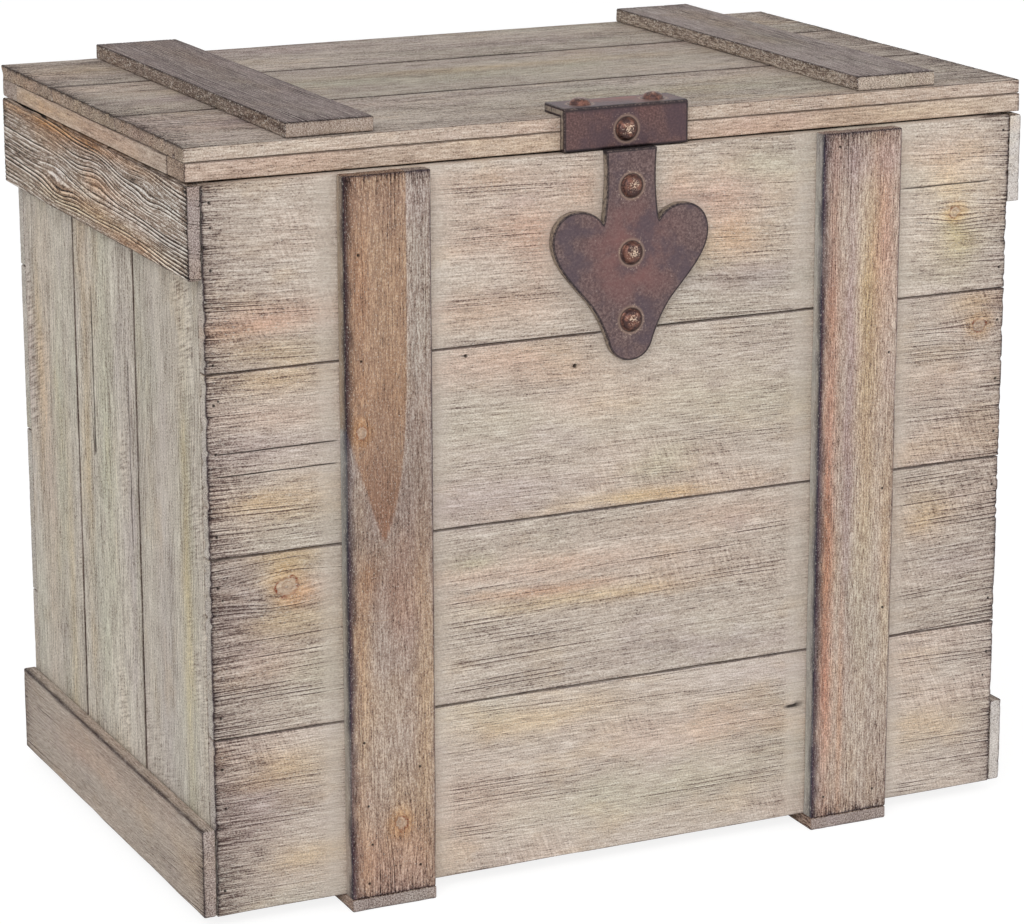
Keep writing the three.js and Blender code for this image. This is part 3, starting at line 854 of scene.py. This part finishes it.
side_looks = {
    "left": {
        1: dict(
            seed=101, holes=[(34, 73, 0.9)], heart=(-1.5, -40.0), rim=(0.2, 1.6, 0.3),
            patches=dict(
                green=[(150, 24, 170, 10, 0.8)],
                ochre=[(170, 26, 90, 7, 0.9)],
                violet=[(130, 62, 150, 14, 0.8), (60, 96, 90, 12, 0.6)],
                gray=[(60, 50, 80, 30, 0.7)],
                dark=[(300, 34, 30, 12, 0.3)],
            ),
        ),
        2: dict(
            seed=113, heart=(2.6, -40.0), rim=(1.6, 1.6, 0.3),
            cracks=[(214, 308, 71.3, 0.9), (208, 228, 72.3, 1.6), (170, 280, 12.5, 0.45)],
            patches=dict(
                green=[(230, 50, 150, 16, 0.8)],
                violet=[(200, 12, 120, 8, 0.8), (260, 26, 60, 8, 0.4)],
                ochre=[(240, 84, 120, 7, 0.6)],
                pink=[(330, 80, 60, 14, 0.4)],
            ),
        ),
        3: dict(
            seed=127, heart=(-1.8, -40.0), rim=(1.6, 0.2, 0.3),
            patches=dict(
                pink=[(200, 56, 120, 16, 0.7)],
                green=[(190, 34, 90, 12, 0.7)],
                ochre=[(240, 66, 60, 8, 0.8), (110, 20, 100, 7, 0.6)],
                violet=[(260, 86, 140, 10, 0.6)],
            ),
        ),
    },
    "right": {
        1: dict(seed=131, patches=dict(green=[(200, 40, 150, 14, 0.6)], ochre=[(130, 60, 90, 8, 0.6)])),
        2: dict(
            seed=137, heart=(2.6, -40.0),
            patches=dict(violet=[(220, 30, 130, 10, 0.7)], green=[(160, 70, 120, 12, 0.6)]),
        ),
        3: dict(seed=139, patches=dict(pink=[(200, 50, 120, 14, 0.6)], ochre=[(260, 20, 80, 8, 0.6)])),
    },
}
for side, out in (("left", "-x"), ("right", "+x")):
    for row, look in side_looks[side].items():
        board(f"{side}_board_{row}", "z", out, side_wood, step=(8.0, 1.0), ease=0.9, relief=(0.08, 0.08),
              lines=(0.7, 0.7), chips=(0.1, 0.1), shrink=0.2, wander=1.4, end_reach=1.0,
              **{"rim": (1.1, 1.1, 0.3), **look})
for row in range(1, 4):
    board(f"floor_board_{row}", "x", "+z", floor_wood, seed=150 + row * 5, step=(16.0, 4.0), shrink=0.2)


# Battens and skids

FLAME_TIP = (196.5, 20.6)


def flame(u, v, tint):
    """Bare heartwood on the left front batten, which narrows downwards to a dark tip in grey sapwood."""
    above = np.maximum(u - FLAME_TIP[0], 0)
    right_edge = FLAME_TIP[1] + 14.5 * (1 - fade(above, 28))
    left_edge = FLAME_TIP[1] - 0.33 * above
    inside = smooth(right_edge - v, -0.2, 0.5) * smooth(v - left_edge, -0.2, 0.5)
    inside = inside * smooth(u, FLAME_TIP[0], FLAME_TIP[0] + 2)
    line = np.clip(bell(v - right_edge - 0.6, 0.5) + bell(v - left_edge + 0.6, 0.5), 0, 1)
    line = line * smooth(u, FLAME_TIP[0], FLAME_TIP[0] + 6) * (1 - inside)
    darker = inside * fade(above, 26)
    outside = (1 - inside) * smooth(u, 90, 190)
    shares = (inside, darker, outside, line)
    colors = ((0.95, 0.81, 0.68), (0.80, 0.64, 0.60), (0.95, 0.99, 1.04), (1.2, 1.2, 1.2))
    for share, color in zip(shares, colors):
        tint = tint * (1 + (np.array(color) - 1) * share[:, None])
    return tint, inside


UPRIGHT_SIDE = [("-x", upright_side_wood)]
UPRIGHT = dict(step=(4.0, 0.6), ease=1.4, relief=(0.08, 0.3), shrink=0.0, rim=(4.6, 1.3, 1.8), end_reach=8.0)
board("front_batten_left", "z", "-y", upright_wood, UPRIGHT_SIDE, seed=171, pitch=2.0, heart=(3.2, -14.0),
      tilt=0.006, knots=[(39.7, 28.2, 3.4), (257.9, 8.9, 3.0)], paint=flame, base=(1.05, 1.10, 1.15),
      patches=dict(
          ochre=[(110, 7, 110, 6, 0.9), (110, 44, 110, 6, 0.9), (40, 28, 30, 12, 0.8)],
          gray=[(110, 25, 120, 10, 0.8), (300, 42, 90, 6, 0.6)],
          rust=[(150, 6, 50, 5, 0.6), (170, 30, 26, 14, 0.9), (330, 8, 60, 6, 0.6)],
          pink=[(330, 30, 60, 14, 0.6)],
          dark=[(218, 42, 50, 9, 0.4), (205, 26, 70, 30, 0.8)],
          rose=[(20, 20, 24, 30, 0.7)],
          brown=[(180, 12, 12, 5, 0.7)],
          violet=[(378, 25, 12, 30, 0.7)],
      ),
      holes=[(8, 10, 0.8), (30, 12, 0.7), (52, 10, 0.7), (14, 40, 0.8), (70, 40, 0.7), (88, 8, 0.7),
             (352, 8, 0.8), (296, 9, 0.7)], **UPRIGHT)
board("front_batten_right", "z", "-y", upright_wood, UPRIGHT_SIDE, seed=187, pitch=2.2,
      heart=(-2.4, -14.0), tilt=-0.004, base=(1.22, 1.31, 1.37),
      patches=dict(
          violet=[(250, 19, 160, 3.5, 1.6), (380, 25, 12, 30, 1.2)],
          olive=[(320, 30, 60, 7, 0.8)],
          ochre=[(230, 31, 120, 7, 0.8), (150, 45, 60, 4, 0.8)],
          rose=[(230, 7, 160, 4, 1.3), (340, 40, 60, 7, 1.2), (90, 8, 90, 4, 1.3)],
          dark=[(160, 6, 200, 4, 0.3), (290, 14, 30, 3, 0.5)],
          gray=[(110, 32, 110, 12, 1.2)],
          rust=[(60, 17, 70, 2.0, 0.9)],
          brown=[(150, 6, 60, 3, 0.5)],
      ),
      holes=[(386, 10, 0.7), (120, 44, 0.8), (190, 42, 0.7), (268, 44, 0.7), (12, 8, 0.7), (12, 40, 0.7)],
      **UPRIGHT)
BATTEN_ENDS = [("-y", end_wood), ("+y", end_wood)]
for side, seed in (("left", 191), ("right", 197)):
    board(f"back_batten_{side}", "z", "+y", upright_wood, UPRIGHT_SIDE, seed=seed,
          heart=(-2.4, -20.0), tilt=0.004,
          patches=dict(
              ochre=[(120, 12, 90, 8, 0.8)],
              rust=[(280, 36, 90, 7, 0.6)],
              gray=[(200, 25, 120, 9, 0.8)],
          ),
          holes=[(10, 10, 0.8), (10, 40, 0.8), (384, 10, 0.8), (384, 40, 0.8)],
          **{**UPRIGHT, "step": (8.0, 1.2), "rim": (2.2, 1.4, 1.8)})
    board(f"skid_{side}", "y", "-z", upright_wood, BATTEN_ENDS, seed=seed + 6, step=(9.0, 2.4), ease=1.6,
          chips=(0.5, 0.5), shrink=0.0, rim=(1.4, 1.4, 1.0))

PALE_BATTEN_ENDS = [("-y", right_end_wood), ("+y", end_wood)]
board("left_top_batten", "y", "-x", top_side_wood, BATTEN_ENDS, seed=211, base=(0.97, 0.96, 0.96),
      step=(2.4, 0.34), ease=1.4, relief=(0.5, 0.9), lines=(0.85, 1.0), steady=0.25, chips=(1.2, 0.3),
      heart=(3.4, -20.0), tilt=-0.05, bends=[(140, 24, 6.0), (205, 17, 5.0), (60, 36, 3.6)], wander=5.0,
      shrink=0.1, rim=(0.9, 0.7, 1.0), end_reach=5.0,
      patches=dict(
          brown=[(190, 46, 130, 4.6, 1.4), (215, 38, 30, 7, 0.7), (140, 26, 26, 6, 0.8),
                 (175, 14, 60, 4, 0.7), (90, 4, 60, 4, 0.7)],
          ochre=[(150, 8, 110, 5, 1.0)],
          light=[(55, 3, 34, 4, 1.6), (75, 24, 60, 5, 1.0), (230, 18, 40, 6, 0.9)],
          gray=[(60, 38, 60, 8, 1.0)],
      ))
LOW_BATTEN = dict(relief=(0.16, 0.4), heart=(-2.2, -20.0), wander=1.8, shrink=0.0, rim=(1.0, 2.0, 1.4))
board("left_bottom_batten", "y", "-x", low_side_wood, BATTEN_ENDS, seed=223, step=(4.5, 0.8), ease=1.4,
      chips=(0.6, 0.4), tilt=0.03, **LOW_BATTEN,
      patches=dict(
          pink=[(160, 30, 60, 8, 0.7)],
          light=[(165, 34, 36, 4, 0.7)],
          dark=[(130, 40, 90, 6, 0.3)],
          ochre=[(20, 26, 24, 12, 0.6)],
          gray=[(200, 14, 90, 10, 0.6)],
      ))
board("right_top_batten", "y", "+x", top_side_wood, PALE_BATTEN_ENDS, seed=229, step=(4.0, 0.7),
      ease=1.6, relief=(0.5, 0.8), chips=(0.5, 0.5), heart=(3.4, -20.0), tilt=0.03, wander=2.4, shrink=0.1,
      rim=(1.0, 1.2, 1.2), patches=dict(rust=[(90, 44, 90, 4, 0.8)], ochre=[(200, 12, 60, 8, 0.7)]))
board("right_bottom_batten", "y", "+x", low_side_wood, PALE_BATTEN_ENDS, seed=233, step=(6.0, 1.0),
      ease=1.6, chips=(0.5, 0.5), tilt=0.02, **LOW_BATTEN,
      patches=dict(pink=[(160, 30, 60, 8, 0.6)], ochre=[(60, 20, 40, 12, 0.6)]))


# Lid. Its left end stands a little further in than the CAD lid's.

lid_looks = {
    1: dict(
        seed=251, tilt=0.012, trim=(2.2, 0.0), rim=(0.4, 1.9, 1.8),
        patches=dict(
            light=[(40, 40, 50, 60, 0.8)],
            violet=[(60, 66, 50, 18, 1.4), (220, 90, 120, 10, 0.4), (30, 20, 30, 16, 0.7)],
            dark=[(60, 50, 40, 4, 0.5)],
            green=[(330, 50, 120, 22, 0.7)],
            pink=[(330, 4, 120, 5, 0.7)],
        ),
    ),
    2: dict(
        seed=263, tilt=-0.012, trim=(1.9, 0.0), rim=(1.9, 1.9, 1.8),
        patches=dict(
            light=[(40, 50, 50, 60, 0.8)],
            violet=[(60, 40, 50, 14, 1.4), (300, 92, 80, 8, 0.6)],
            green=[(230, 50, 140, 20, 0.7)],
            ochre=[(260, 66, 140, 8, 0.6)],
            dark=[(60, 70, 50, 4, 0.5)],
        ),
    ),
    3: dict(
        seed=277, tilt=0.012, trim=(1.5, 0.0), rim=(1.9, 0.6, 1.8),
        patches=dict(
            violet=[(150, 70, 90, 20, 0.8), (300, 40, 90, 12, 0.6)],
            ochre=[(40, 50, 30, 18, 0.5), (430, 60, 50, 20, 0.6)],
        ),
    ),
}
LID_ENDS = [("-y", rail_wood), ("-x", plank_end_wood), ("+x", plank_end_wood)]
for row, look in lid_looks.items():
    board(f"lid_plank_{row}", "x", "+z", lid_wood, LID_ENDS, step=(6.0, 0.9), ease=0.9, relief=(0.12, 0.6),
          lines=(0.6, 1.0), chips=(1.4, 0.7), wander=1.8, shrink=0.25, end_reach=14.0, **look)
RAIL = dict(ease=0.7, shrink=0.05, rim=(0.0, 0.5, 0.8), end_reach=3.0, lines=(0.3, 0.5))
board("lid_rail_front", "x", "-y", rail_wood, LID_ENDS[1:], seed=281, step=(6.0, 1.2), chips=(0.4, 0.2),
      trim=(2.3, 0.0),
      patches=dict(
          pink=[(60, 5, 60, 8, 0.8), (330, 5, 70, 8, 0.6)],
          ochre=[(200, 5, 60, 8, 0.5), (420, 5, 60, 8, 0.6)],
      ), **RAIL)
board("lid_rail_back", "x", "+y", rail_wood, seed=283, step=(9.0, 2.4), trim=(2.3, 0.0), **RAIL)
board("lid_rail_left", "y", "-x", rail_wood, seed=293, step=(6.0, 1.2), chips=(0.1, 0.1), thin=2.3,
      base=(0.82, 0.80, 0.77), **RAIL,
      patches=dict(rust=[(90, 5, 90, 5, 0.5)], ochre=[(190, 5, 60, 5, 0.8)], gray=[(20, 5, 30, 8, 0.7)]))
board("lid_rail_right", "y", "+x", rail_wood, seed=307, step=(9.0, 2.4), chips=(0.1, 0.1), **RAIL)
BATTEN_FACES = [("-x", speckled_wood), ("-y", pale_end_wood), ("+y", pale_end_wood)]
lid_batten_looks = {
    "left": dict(seed=311, tilt=0.004, base=(0.86, 0.83, 0.84)),
    "right": dict(seed=313, tilt=-0.01, base=(1.12, 1.12, 1.12)),
}
for side, look in lid_batten_looks.items():
    board(f"lid_batten_{side}", "y", "+z", lid_batten_wood, BATTEN_FACES, step=(4.5, 0.6), ease=1.3,
          relief=(0.2, 0.5), lines=(0.65, 1.0), steady=0.15, chips=(0.7, 0.4), pitch=2.2, wander=2.6,
          shrink=0.0, rim=(1.0, 0.8, 1.2), end_reach=6.0, **look,
          patches=dict(
              ochre=[(230, 30, 60, 10, 0.5)],
              green=[(150, 24, 60, 10, 0.5)],
              light=[(20, 26, 14, 14, 0.4)],
          ))


# Ironwork

RIVET_RADIUS, RIVET_HEIGHT = 6.3, 3.8
SCREW_RADIUS, SCREW_HEIGHT, SCREW_SLOT = 2.6, 1.5, 0.7
RIM_RADIUS = 0.5
BRACKET_THICKNESS = 5.0
BRACKET_CORNER = 1.6
TOP_STRETCH, STRETCH_REACH = 0.9, 8
HINGE_EASE = 0.25
WELD_DISTANCE = 0.002
DOME_ROWS, DOME_SPOKES = 16, 56


def place_in_mm(g, scale=1.0):
    """Coordinates of the surface point, in mm times the scale."""
    coordinates = Value(g, g.nodes.new("ShaderNodeTexCoord").outputs["Object"])
    return g.vector("MULTIPLY", coordinates, (scale / MM, scale / MM, scale / MM))


def round_rivets(g, nearest, fine, color):
    """Round each rivet: pale crumbs, then a worn ring, then a dark line."""
    crumbs = nearest.span(12.0, 7.0) * fine.span(0.60, 0.68)
    color = g.mix(crumbs, color, srgb(206, 186, 166))
    color = g.mix(fine.span(0.70, 0.75, 0.0, 0.8), color, srgb(196, 184, 176))
    color = g.mix(nearest.span(8.6, 7.2, 0.0, 0.5), color, srgb(164, 138, 120))
    return g.mix(nearest.span(7.1, 6.5, 0.0, 0.85), color, srgb(52, 36, 34))


def iron_material(name, centres, middle, warmest, darken=(1, 1, 1, 1)):
    """Dark forged iron: a purplish brown skin, some rust towards the middle, a dark line along its rims."""
    g = Graph(bpy.data.materials.new(name))
    place = place_in_mm(g)
    fine = g.noise(place_in_mm(g, 0.9), 4.0, 0.65)
    patchy = g.noise(place_in_mm(g, 0.045), 4.0, 0.55)
    dents = g.noise(place_in_mm(g, 0.2), 3.0)
    color = g.ramp(fine, [(0.32, srgb(70, 55, 56)), (0.5, srgb(102, 84, 83)), (0.68, srgb(136, 116, 112))])
    color = g.mix(patchy.span(0.54, 0.38, 0.0, 0.65), color, srgb(80, 67, 77))
    color = g.dye(1.0, color, darken)
    warmth = g.vector("DISTANCE", place, middle).span(40.0, 6.0, 0.0, 0.8)
    rusty = (warmth + 0.1) * patchy.span(0.36, 0.66, 0.1, 0.9)
    color = g.mix(rusty, color, srgb(*warmest))
    gaps = [g.vector("DISTANCE", place, centre) for centre in centres]
    nearest = gaps[0].smaller(gaps[1]).smaller(gaps[2])
    color = round_rivets(g, nearest, fine, color)
    rim = g.attribute("rim")
    color = g.mix(rim.span(0.05, 0.5, 0.0, 0.85), color, srgb(34, 26, 30))
    worn = rim.span(0.86, 1.0) * fine.span(0.46, 0.62)
    color = g.mix(worn * 0.5, color, srgb(140, 122, 114))
    metallic = rusty.span(0.1, 0.7, 0.45, 0.25)
    return g.finish(color, fine.span(0.3, 0.7, 0.42, 0.60), dents * 0.75 + fine * 0.25, 0.5, 1.2, metallic)


def head_material(name, base, glow, metallic):
    """Worn metal of rivets, screws and hinges, polished bright by wear on what stands proud, with a painted
    highlight on the upper part of the rivet heads.
    """
    g = Graph(bpy.data.materials.new(name))
    fine = g.noise(place_in_mm(g, 1.1), 4.0, 0.65)
    patchy = g.noise(place_in_mm(g, 0.3), 3.0, 0.6)
    # Partly real wear and partly painted highlight: pale where the head stands proud, and paler still on its
    # upper part.
    worn_and_lit = g.attribute("wear_and_highlight") + (fine - 0.5) * 2.4
    color = g.mix(patchy.span(0.42, 0.62), srgb(*base), srgb(*glow))
    color = g.mix(fine.span(0.46, 0.34, 0.0, 0.7), color, srgb(40, 28, 30))
    color = g.mix(worn_and_lit.span(0.28, 0.62, 0.0, 0.9), color, srgb(230, 204, 180))
    return g.finish(color, fine.span(0.3, 0.7, 0.28, 0.48), fine, 0.5, 0.5, metallic)


def edge_material(name, base, worn):
    """The cut edge of the iron, worn pale, with painted shadow where the bracket shades it."""
    g = Graph(bpy.data.materials.new(name))
    fine = g.noise(place_in_mm(g, 0.5), 4.0, 0.65)
    color = g.mix(fine.span(0.36, 0.56), srgb(*base), srgb(*worn))
    # Painted shadow: near black where the bracket above shades the edge.
    color = g.mix(g.attribute("bracket_shadow"), color, srgb(38, 30, 32))
    return g.finish(color, fine.span(0.3, 0.7, 0.5, 0.75), fine, 0.5, 0.8)


def seat_of(node):
    """Middle of a rivet head on its seat, in mm."""
    low, high = box_in_mm(node)
    point = (low + high) / 2
    facing = int(np.argmax(high - low))
    point[facing] = high[2] - RIVET_HEIGHT if facing == 2 else low[1] + RIVET_HEIGHT
    return Vector(point)


plate_rivets = [f"plate_rivet_{row}" for row in (1, 2, 3)]
bracket_rivets = [f"bracket_rivet_{side}" for side in ("front", "left", "right")]
bracket_low, bracket_high = box_in_mm("lid_bracket")
rust_middle = Vector(((bracket_low[0] + bracket_high[0]) / 2, bracket_high[1] + 6, bracket_high[2] + 8))
plate_iron = iron_material("plate_iron", [seat_of(node) for node in plate_rivets], seat_of("plate_rivet_2"),
                           (128, 84, 80))
bracket_iron = iron_material("bracket_iron", [seat_of(node) for node in bracket_rivets], rust_middle,
                             (128, 64, 50), (0.84, 0.72, 0.72, 1))
cut_iron = edge_material("cut_iron", (84, 73, 67), (150, 136, 122))
rivet_iron = head_material("rivet_iron", (78, 57, 55), (124, 86, 74), 0.75)
hinge_steel = head_material("hinge_steel", (112, 98, 82), (134, 110, 84), 0.8)


def mitred_inward(outline):
    """For each corner of a closed outline, the shift that moves both of its sides in by one."""
    before, after = np.roll(outline, 1, axis=0), np.roll(outline, -1, axis=0)
    area = np.sum(outline[:, 0] * after[:, 1] - after[:, 0] * outline[:, 1])
    sides = []
    for side in (outline - before, after - outline):
        side = side / np.linalg.norm(side, axis=1, keepdims=True)
        sides.append(np.stack([-side[:, 1], side[:, 0]], -1) * np.sign(area))
    spread = 1 + np.sum(sides[0] * sides[1], axis=1, keepdims=True)
    return (sides[0] + sides[1]) / np.maximum(spread, 0.6)


def rim_levels(depth, on_side):
    """How far in, how high and how dark each ring of a rounded prism's upper half is."""
    turns = np.linspace(0, math.pi / 2, 5)
    wall = depth - RIM_RADIUS
    levels = [(RIM_RADIUS * (1 - math.cos(a)), wall + RIM_RADIUS * math.sin(a), 1.0) for a in turns]
    levels += [(RIM_RADIUS + 0.35, depth, 0.55), (RIM_RADIUS + 0.8, depth, 0.0)]
    return [(0.0, wall - 1.2, 0.0), (0.0, wall - 0.4, 0.4), *levels] if on_side else levels


def rounded_prism(name, outline, to_space, depth, cap_material, side_material, rim_on_side=None):
    """A prism with both rims rounded. Its points are (a, b, height), which to_space puts in place."""
    inward = mitred_inward(outline)
    upper = rim_levels(depth, rim_on_side is not None)
    lower = [(inset, depth - up, value) for inset, up, value in reversed(upper)]
    levels = lower + upper
    count, tiers = len(outline), len(levels)
    rings = [np.column_stack([outline + inward * inset, np.full(count, up)]) for inset, up, _ in levels]
    here = np.arange(count)
    there = (here + 1) % count
    faces, slots = [], []
    for tier in range(tiers - 1):
        near, far = tier * count, (tier + 1) * count
        faces += np.stack([near + here, near + there, far + there, far + here], -1).tolist()
        on_side = rim_on_side is not None or tier == len(lower) - 1
        slots += [1 if on_side else 0] * count
    faces += [list(range((tiers - 1) * count, tiers * count)), list(range(count))[::-1]]
    slots += [0, 0]
    made = mesh_object(name, to_space(np.concatenate(rings)) * MM, faces, [cap_material, side_material])
    made.data.polygons.foreach_set("material_index", slots)
    rim = np.repeat([value for _, _, value in levels], count)
    if rim_on_side is not None:
        rim = np.maximum(rim, np.tile(rim_on_side, tiers))
    store(made.data, "rim", "FLOAT", rim)
    shaper = bmesh.new()
    shaper.from_mesh(made.data)
    bmesh.ops.recalc_face_normals(shaper, faces=shaper.faces)
    shaper.to_mesh(made.data)
    shaper.free()
    return made


def add_heart_plate():
    low, high = box_in_mm("heart_plate")
    top = high[2]

    def on_front(points):
        """Puts the plate on the wall, with its top end stretched to just under the bracket."""
        heights = points[:, 1] + TOP_STRETCH * smooth(points[:, 1], top - STRETCH_REACH, top)
        return np.stack([points[:, 0], high[1] - points[:, 2], heights], -1)

    heart = rounded_prism("heart_plate_iron", HEART, on_front, high[1] - low[1], plate_iron, cut_iron)
    heights = np.array([vertex.co.z for vertex in heart.data.vertices]) / MM
    # Painted shadow on the top edge of the plate, just under the bracket.
    store(heart.data, "bracket_shadow", "FLOAT", smooth(heights, top - 2.0, top - 1.0))
    stand_for(heart, "heart_plate")


def bracket_section():
    """Section of the folded bracket in Y and Z, in mm, and how worn each of its points is."""
    front, bottom = bracket_low[1:]
    back, top = bracket_high[1:]
    corner, thick = BRACKET_CORNER, BRACKET_THICKNESS
    turns = np.linspace(0, math.pi / 2, 7)
    turn = [(front + corner * (1 - math.sin(a)), top - corner * (1 - math.cos(a))) for a in turns]
    over = [(y, top) for y in np.linspace(back, front + corner, 14)[:-1]]
    leg = [(front, z) for z in np.linspace(top - corner, bottom, 14)[1:]]
    inner_leg = [(front + thick, z) for z in np.linspace(bottom, top - thick, 8)[:-1]]
    under = [(y, top - thick) for y in np.linspace(front + thick, back, 8)]
    worn = [1.0] + [0.0] * (len(over) - 1) + [0.35, 0.8, 1.0, 1.0, 1.0, 0.8, 0.35]
    worn += [0.0] * (len(leg) - 1) + [0.8, 0.8] + [0.0] * (len(inner_leg) - 1 + len(under) - 1) + [0.8]
    return np.array([*over, *turn, *leg, *inner_leg, *under]), np.array(worn)


def add_bracket():
    def across_lid(points):
        return np.stack([bracket_low[0] + points[:, 2], points[:, 0], points[:, 1]], -1)

    section, wear = bracket_section()
    width = bracket_high[0] - bracket_low[0]
    bracket = rounded_prism("lid_bracket_iron", section, across_lid, width, cut_iron, bracket_iron, wear)
    stand_for(bracket, "lid_bracket")


def eased_hinge_piece(node):
    """The CAD solid's own shape with its hard edges rounded off."""
    made = into_scene(bpy.data.objects.new(f"{node}_steel", frame["nodes"][node].data.copy()))
    made.data.materials.clear()
    made.data.materials.append(hinge_steel)
    weld = made.modifiers.new("weld", "WELD")
    weld.merge_threshold = WELD_DISTANCE * MM
    bevel = made.modifiers.new("bevel", "BEVEL")
    bevel.width = HINGE_EASE * MM
    bevel.segments = 3
    bevel.limit_method = "ANGLE"
    bevel.angle_limit = math.radians(32)
    bevel.harden_normals = True
    stand_for(made, node)


def dome_points(radius, height, seed, slot_width, roughen):
    """A dome on a thin collar that points up: its top, then rings of points down to the foot."""
    share = np.repeat(np.arange(1, DOME_ROWS + 1) / DOME_ROWS, DOME_SPOKES)
    angle = np.tile(2 * math.pi * np.arange(DOME_SPOKES) / DOME_SPOKES, DOME_ROWS)
    cap = np.sqrt(np.clip(1 - (share / 0.9) ** 2, 0, 1))
    collar = 0.12 * (1 - smooth(share, 0.93, 1.0))
    rise = height * (0.88 * cap ** 0.85 + collar)
    ring = np.stack([radius * share * np.cos(angle), radius * share * np.sin(angle), rise], -1)
    foot = ring[-DOME_SPOKES:] + (0, 0, -0.3)
    points = np.concatenate([[(0.0, 0.0, height)], ring, foot])
    lumps = noise(points[:, 0] * 0.4, points[:, 1] * 0.4, points[:, 2] * 0.2, seed)
    points[:, 2] += np.where(points[:, 2] > 0.2, roughen * (lumps - 1) * 0.5, 0)
    if slot_width:
        cut = 1 - smooth(np.abs(points[:, 0]), slot_width * 0.5, slot_width * 0.75)
        points[:, 2] -= np.where(points[:, 2] > 0, cut * height * 0.55, 0)
    return points


def dome_faces():
    here = np.arange(DOME_SPOKES)
    there = (here + 1) % DOME_SPOKES
    faces = [[0, 1 + near, 1 + far] for near, far in zip(here.tolist(), there.tolist())]
    for row in range(DOME_ROWS):
        near, far = 1 + row * DOME_SPOKES, 1 + (row + 1) * DOME_SPOKES
        faces += np.stack([near + here, far + here, far + there, near + there], -1).tolist()
    return faces


def dome(node, radius, height, material, seed, slot_width=0.0, roughen=0.0, wear_and_highlight=0.0, suffix="iron"):
    """A domed head on the seat of the CAD fastener that it stands for. Lengths in mm."""
    low, high = box_in_mm(node)
    facing = int(np.argmax(high - low))
    outward = 1.0 if facing == 2 or low[1] + high[1] > 0 else -1.0
    seat = (low + high) / 2
    seat[facing] = (high[facing] if outward > 0 else low[facing]) - outward * height
    points = dome_points(radius, height, seed, slot_width, roughen)
    spin = Vector((0, 0, 1)).rotation_difference(Vector([outward if a == facing else 0.0 for a in range(3)]))
    placed = np.array([spin @ Vector(p) + Vector(seat) for p in points])
    made = mesh_object(f"{node}_{suffix}", placed * MM, dome_faces(), [material])
    # Real wear on the proud middle, and a painted highlight: heads that face forward are made paler on their
    # upper part.
    proud = np.clip(1 - np.hypot(points[:, 0], points[:, 1]) / (radius * 0.8), 0, 1)
    higher = 0.5 + 0.5 * (placed[:, 2] - seat[2]) / radius
    store(made.data, "wear_and_highlight", "FLOAT", wear_and_highlight * proud * (higher if facing != 2 else 0.35))
    stand_for(made, node)


add_heart_plate()
add_bracket()
for side in ("left", "right"):
    for part in ("chest_leaf", "lid_leaf", "pin"):
        eased_hinge_piece(f"hinge_{side}_{part}")
for number, node in enumerate(plate_rivets + bracket_rivets):
    dome(node, RIVET_RADIUS, RIVET_HEIGHT, rivet_iron, 401 + number, roughen=0.5, wear_and_highlight=1.0)
for side in ("left", "right"):
    for leaf in ("chest", "lid"):
        for hand in ("a", "b"):
            dome(f"hinge_{side}_{leaf}_screw_{hand}", SCREW_RADIUS, SCREW_HEIGHT, hinge_steel, 430,
                 slot_width=SCREW_SLOT, suffix="steel")


# Floor, world and lamps. Lengths in metres.

FLOOR_REACH = 9.0
FLOOR_GREY = 0.86
FLOOR_GLOW = 1.18
FLOOR_GLOW_SHARE = 0.72
WORLD_LIGHT = 0.62
LAMP_TARGET = Vector((0, 0, 0.2))


def seen_directly(g):
    """1 for rays from the camera and for mirror-like rays, so that they meet plain white."""
    path = g.nodes.new("ShaderNodeLightPath")
    camera, glossy, through = [
        Value(g, path.outputs[name]) for name in ("Is Camera Ray", "Is Glossy Ray", "Is Transmission Ray")
    ]
    return camera.larger(glossy.larger(through))


def add_floor():
    g = Graph(bpy.data.materials.new("floor"))
    g.nodes.remove(g.nodes["Principled BSDF"])
    lit = g.fill(g.nodes.new("ShaderNodeBsdfDiffuse"), (FLOOR_GREY, FLOOR_GREY, FLOOR_GREY, 1))
    glow = g.fill(g.nodes.new("ShaderNodeEmission"), (1, 1, 1, 1), FLOOR_GLOW)
    blend = g.fill(g.nodes.new("ShaderNodeMixShader"), seen_directly(g) * FLOOR_GLOW_SHARE, lit, glow)
    g.put(g.nodes["Material Output"].inputs["Surface"], blend)
    sides = ((-1, -1), (1, -1), (1, 1), (-1, 1))
    corners = np.array([(x * FLOOR_REACH, y * FLOOR_REACH, 0.0) for x, y in sides])
    mesh_object("floor", corners, [[0, 1, 2, 3]], [g.owner])


def add_world():
    world = bpy.data.worlds.new("world")
    bpy.context.scene.world = world
    g = Graph(world)
    backdrop = g.nodes["Background"]
    g.put(backdrop.inputs["Color"], (1, 1, 1, 1))
    g.put(backdrop.inputs["Strength"], seen_directly(g).span(0, 1, WORLD_LIGHT, 1.0))


def lamp(name, place, size, power):
    data = bpy.data.lights.new(name, "AREA")
    data.shape = "SQUARE"
    data.size = size
    data.energy = power
    made = into_scene(bpy.data.objects.new(name, data))
    made.location = place
    made.rotation_mode = "QUATERNION"
    made.rotation_quaternion = (LAMP_TARGET - Vector(place)).to_track_quat("-Z", "Y")


add_floor()
add_world()
lamp("key", (-1.9, -2.4, 2.3), 1.6, 46)
lamp("fill", (2.4, -1.8, 1.4), 2.0, 14)
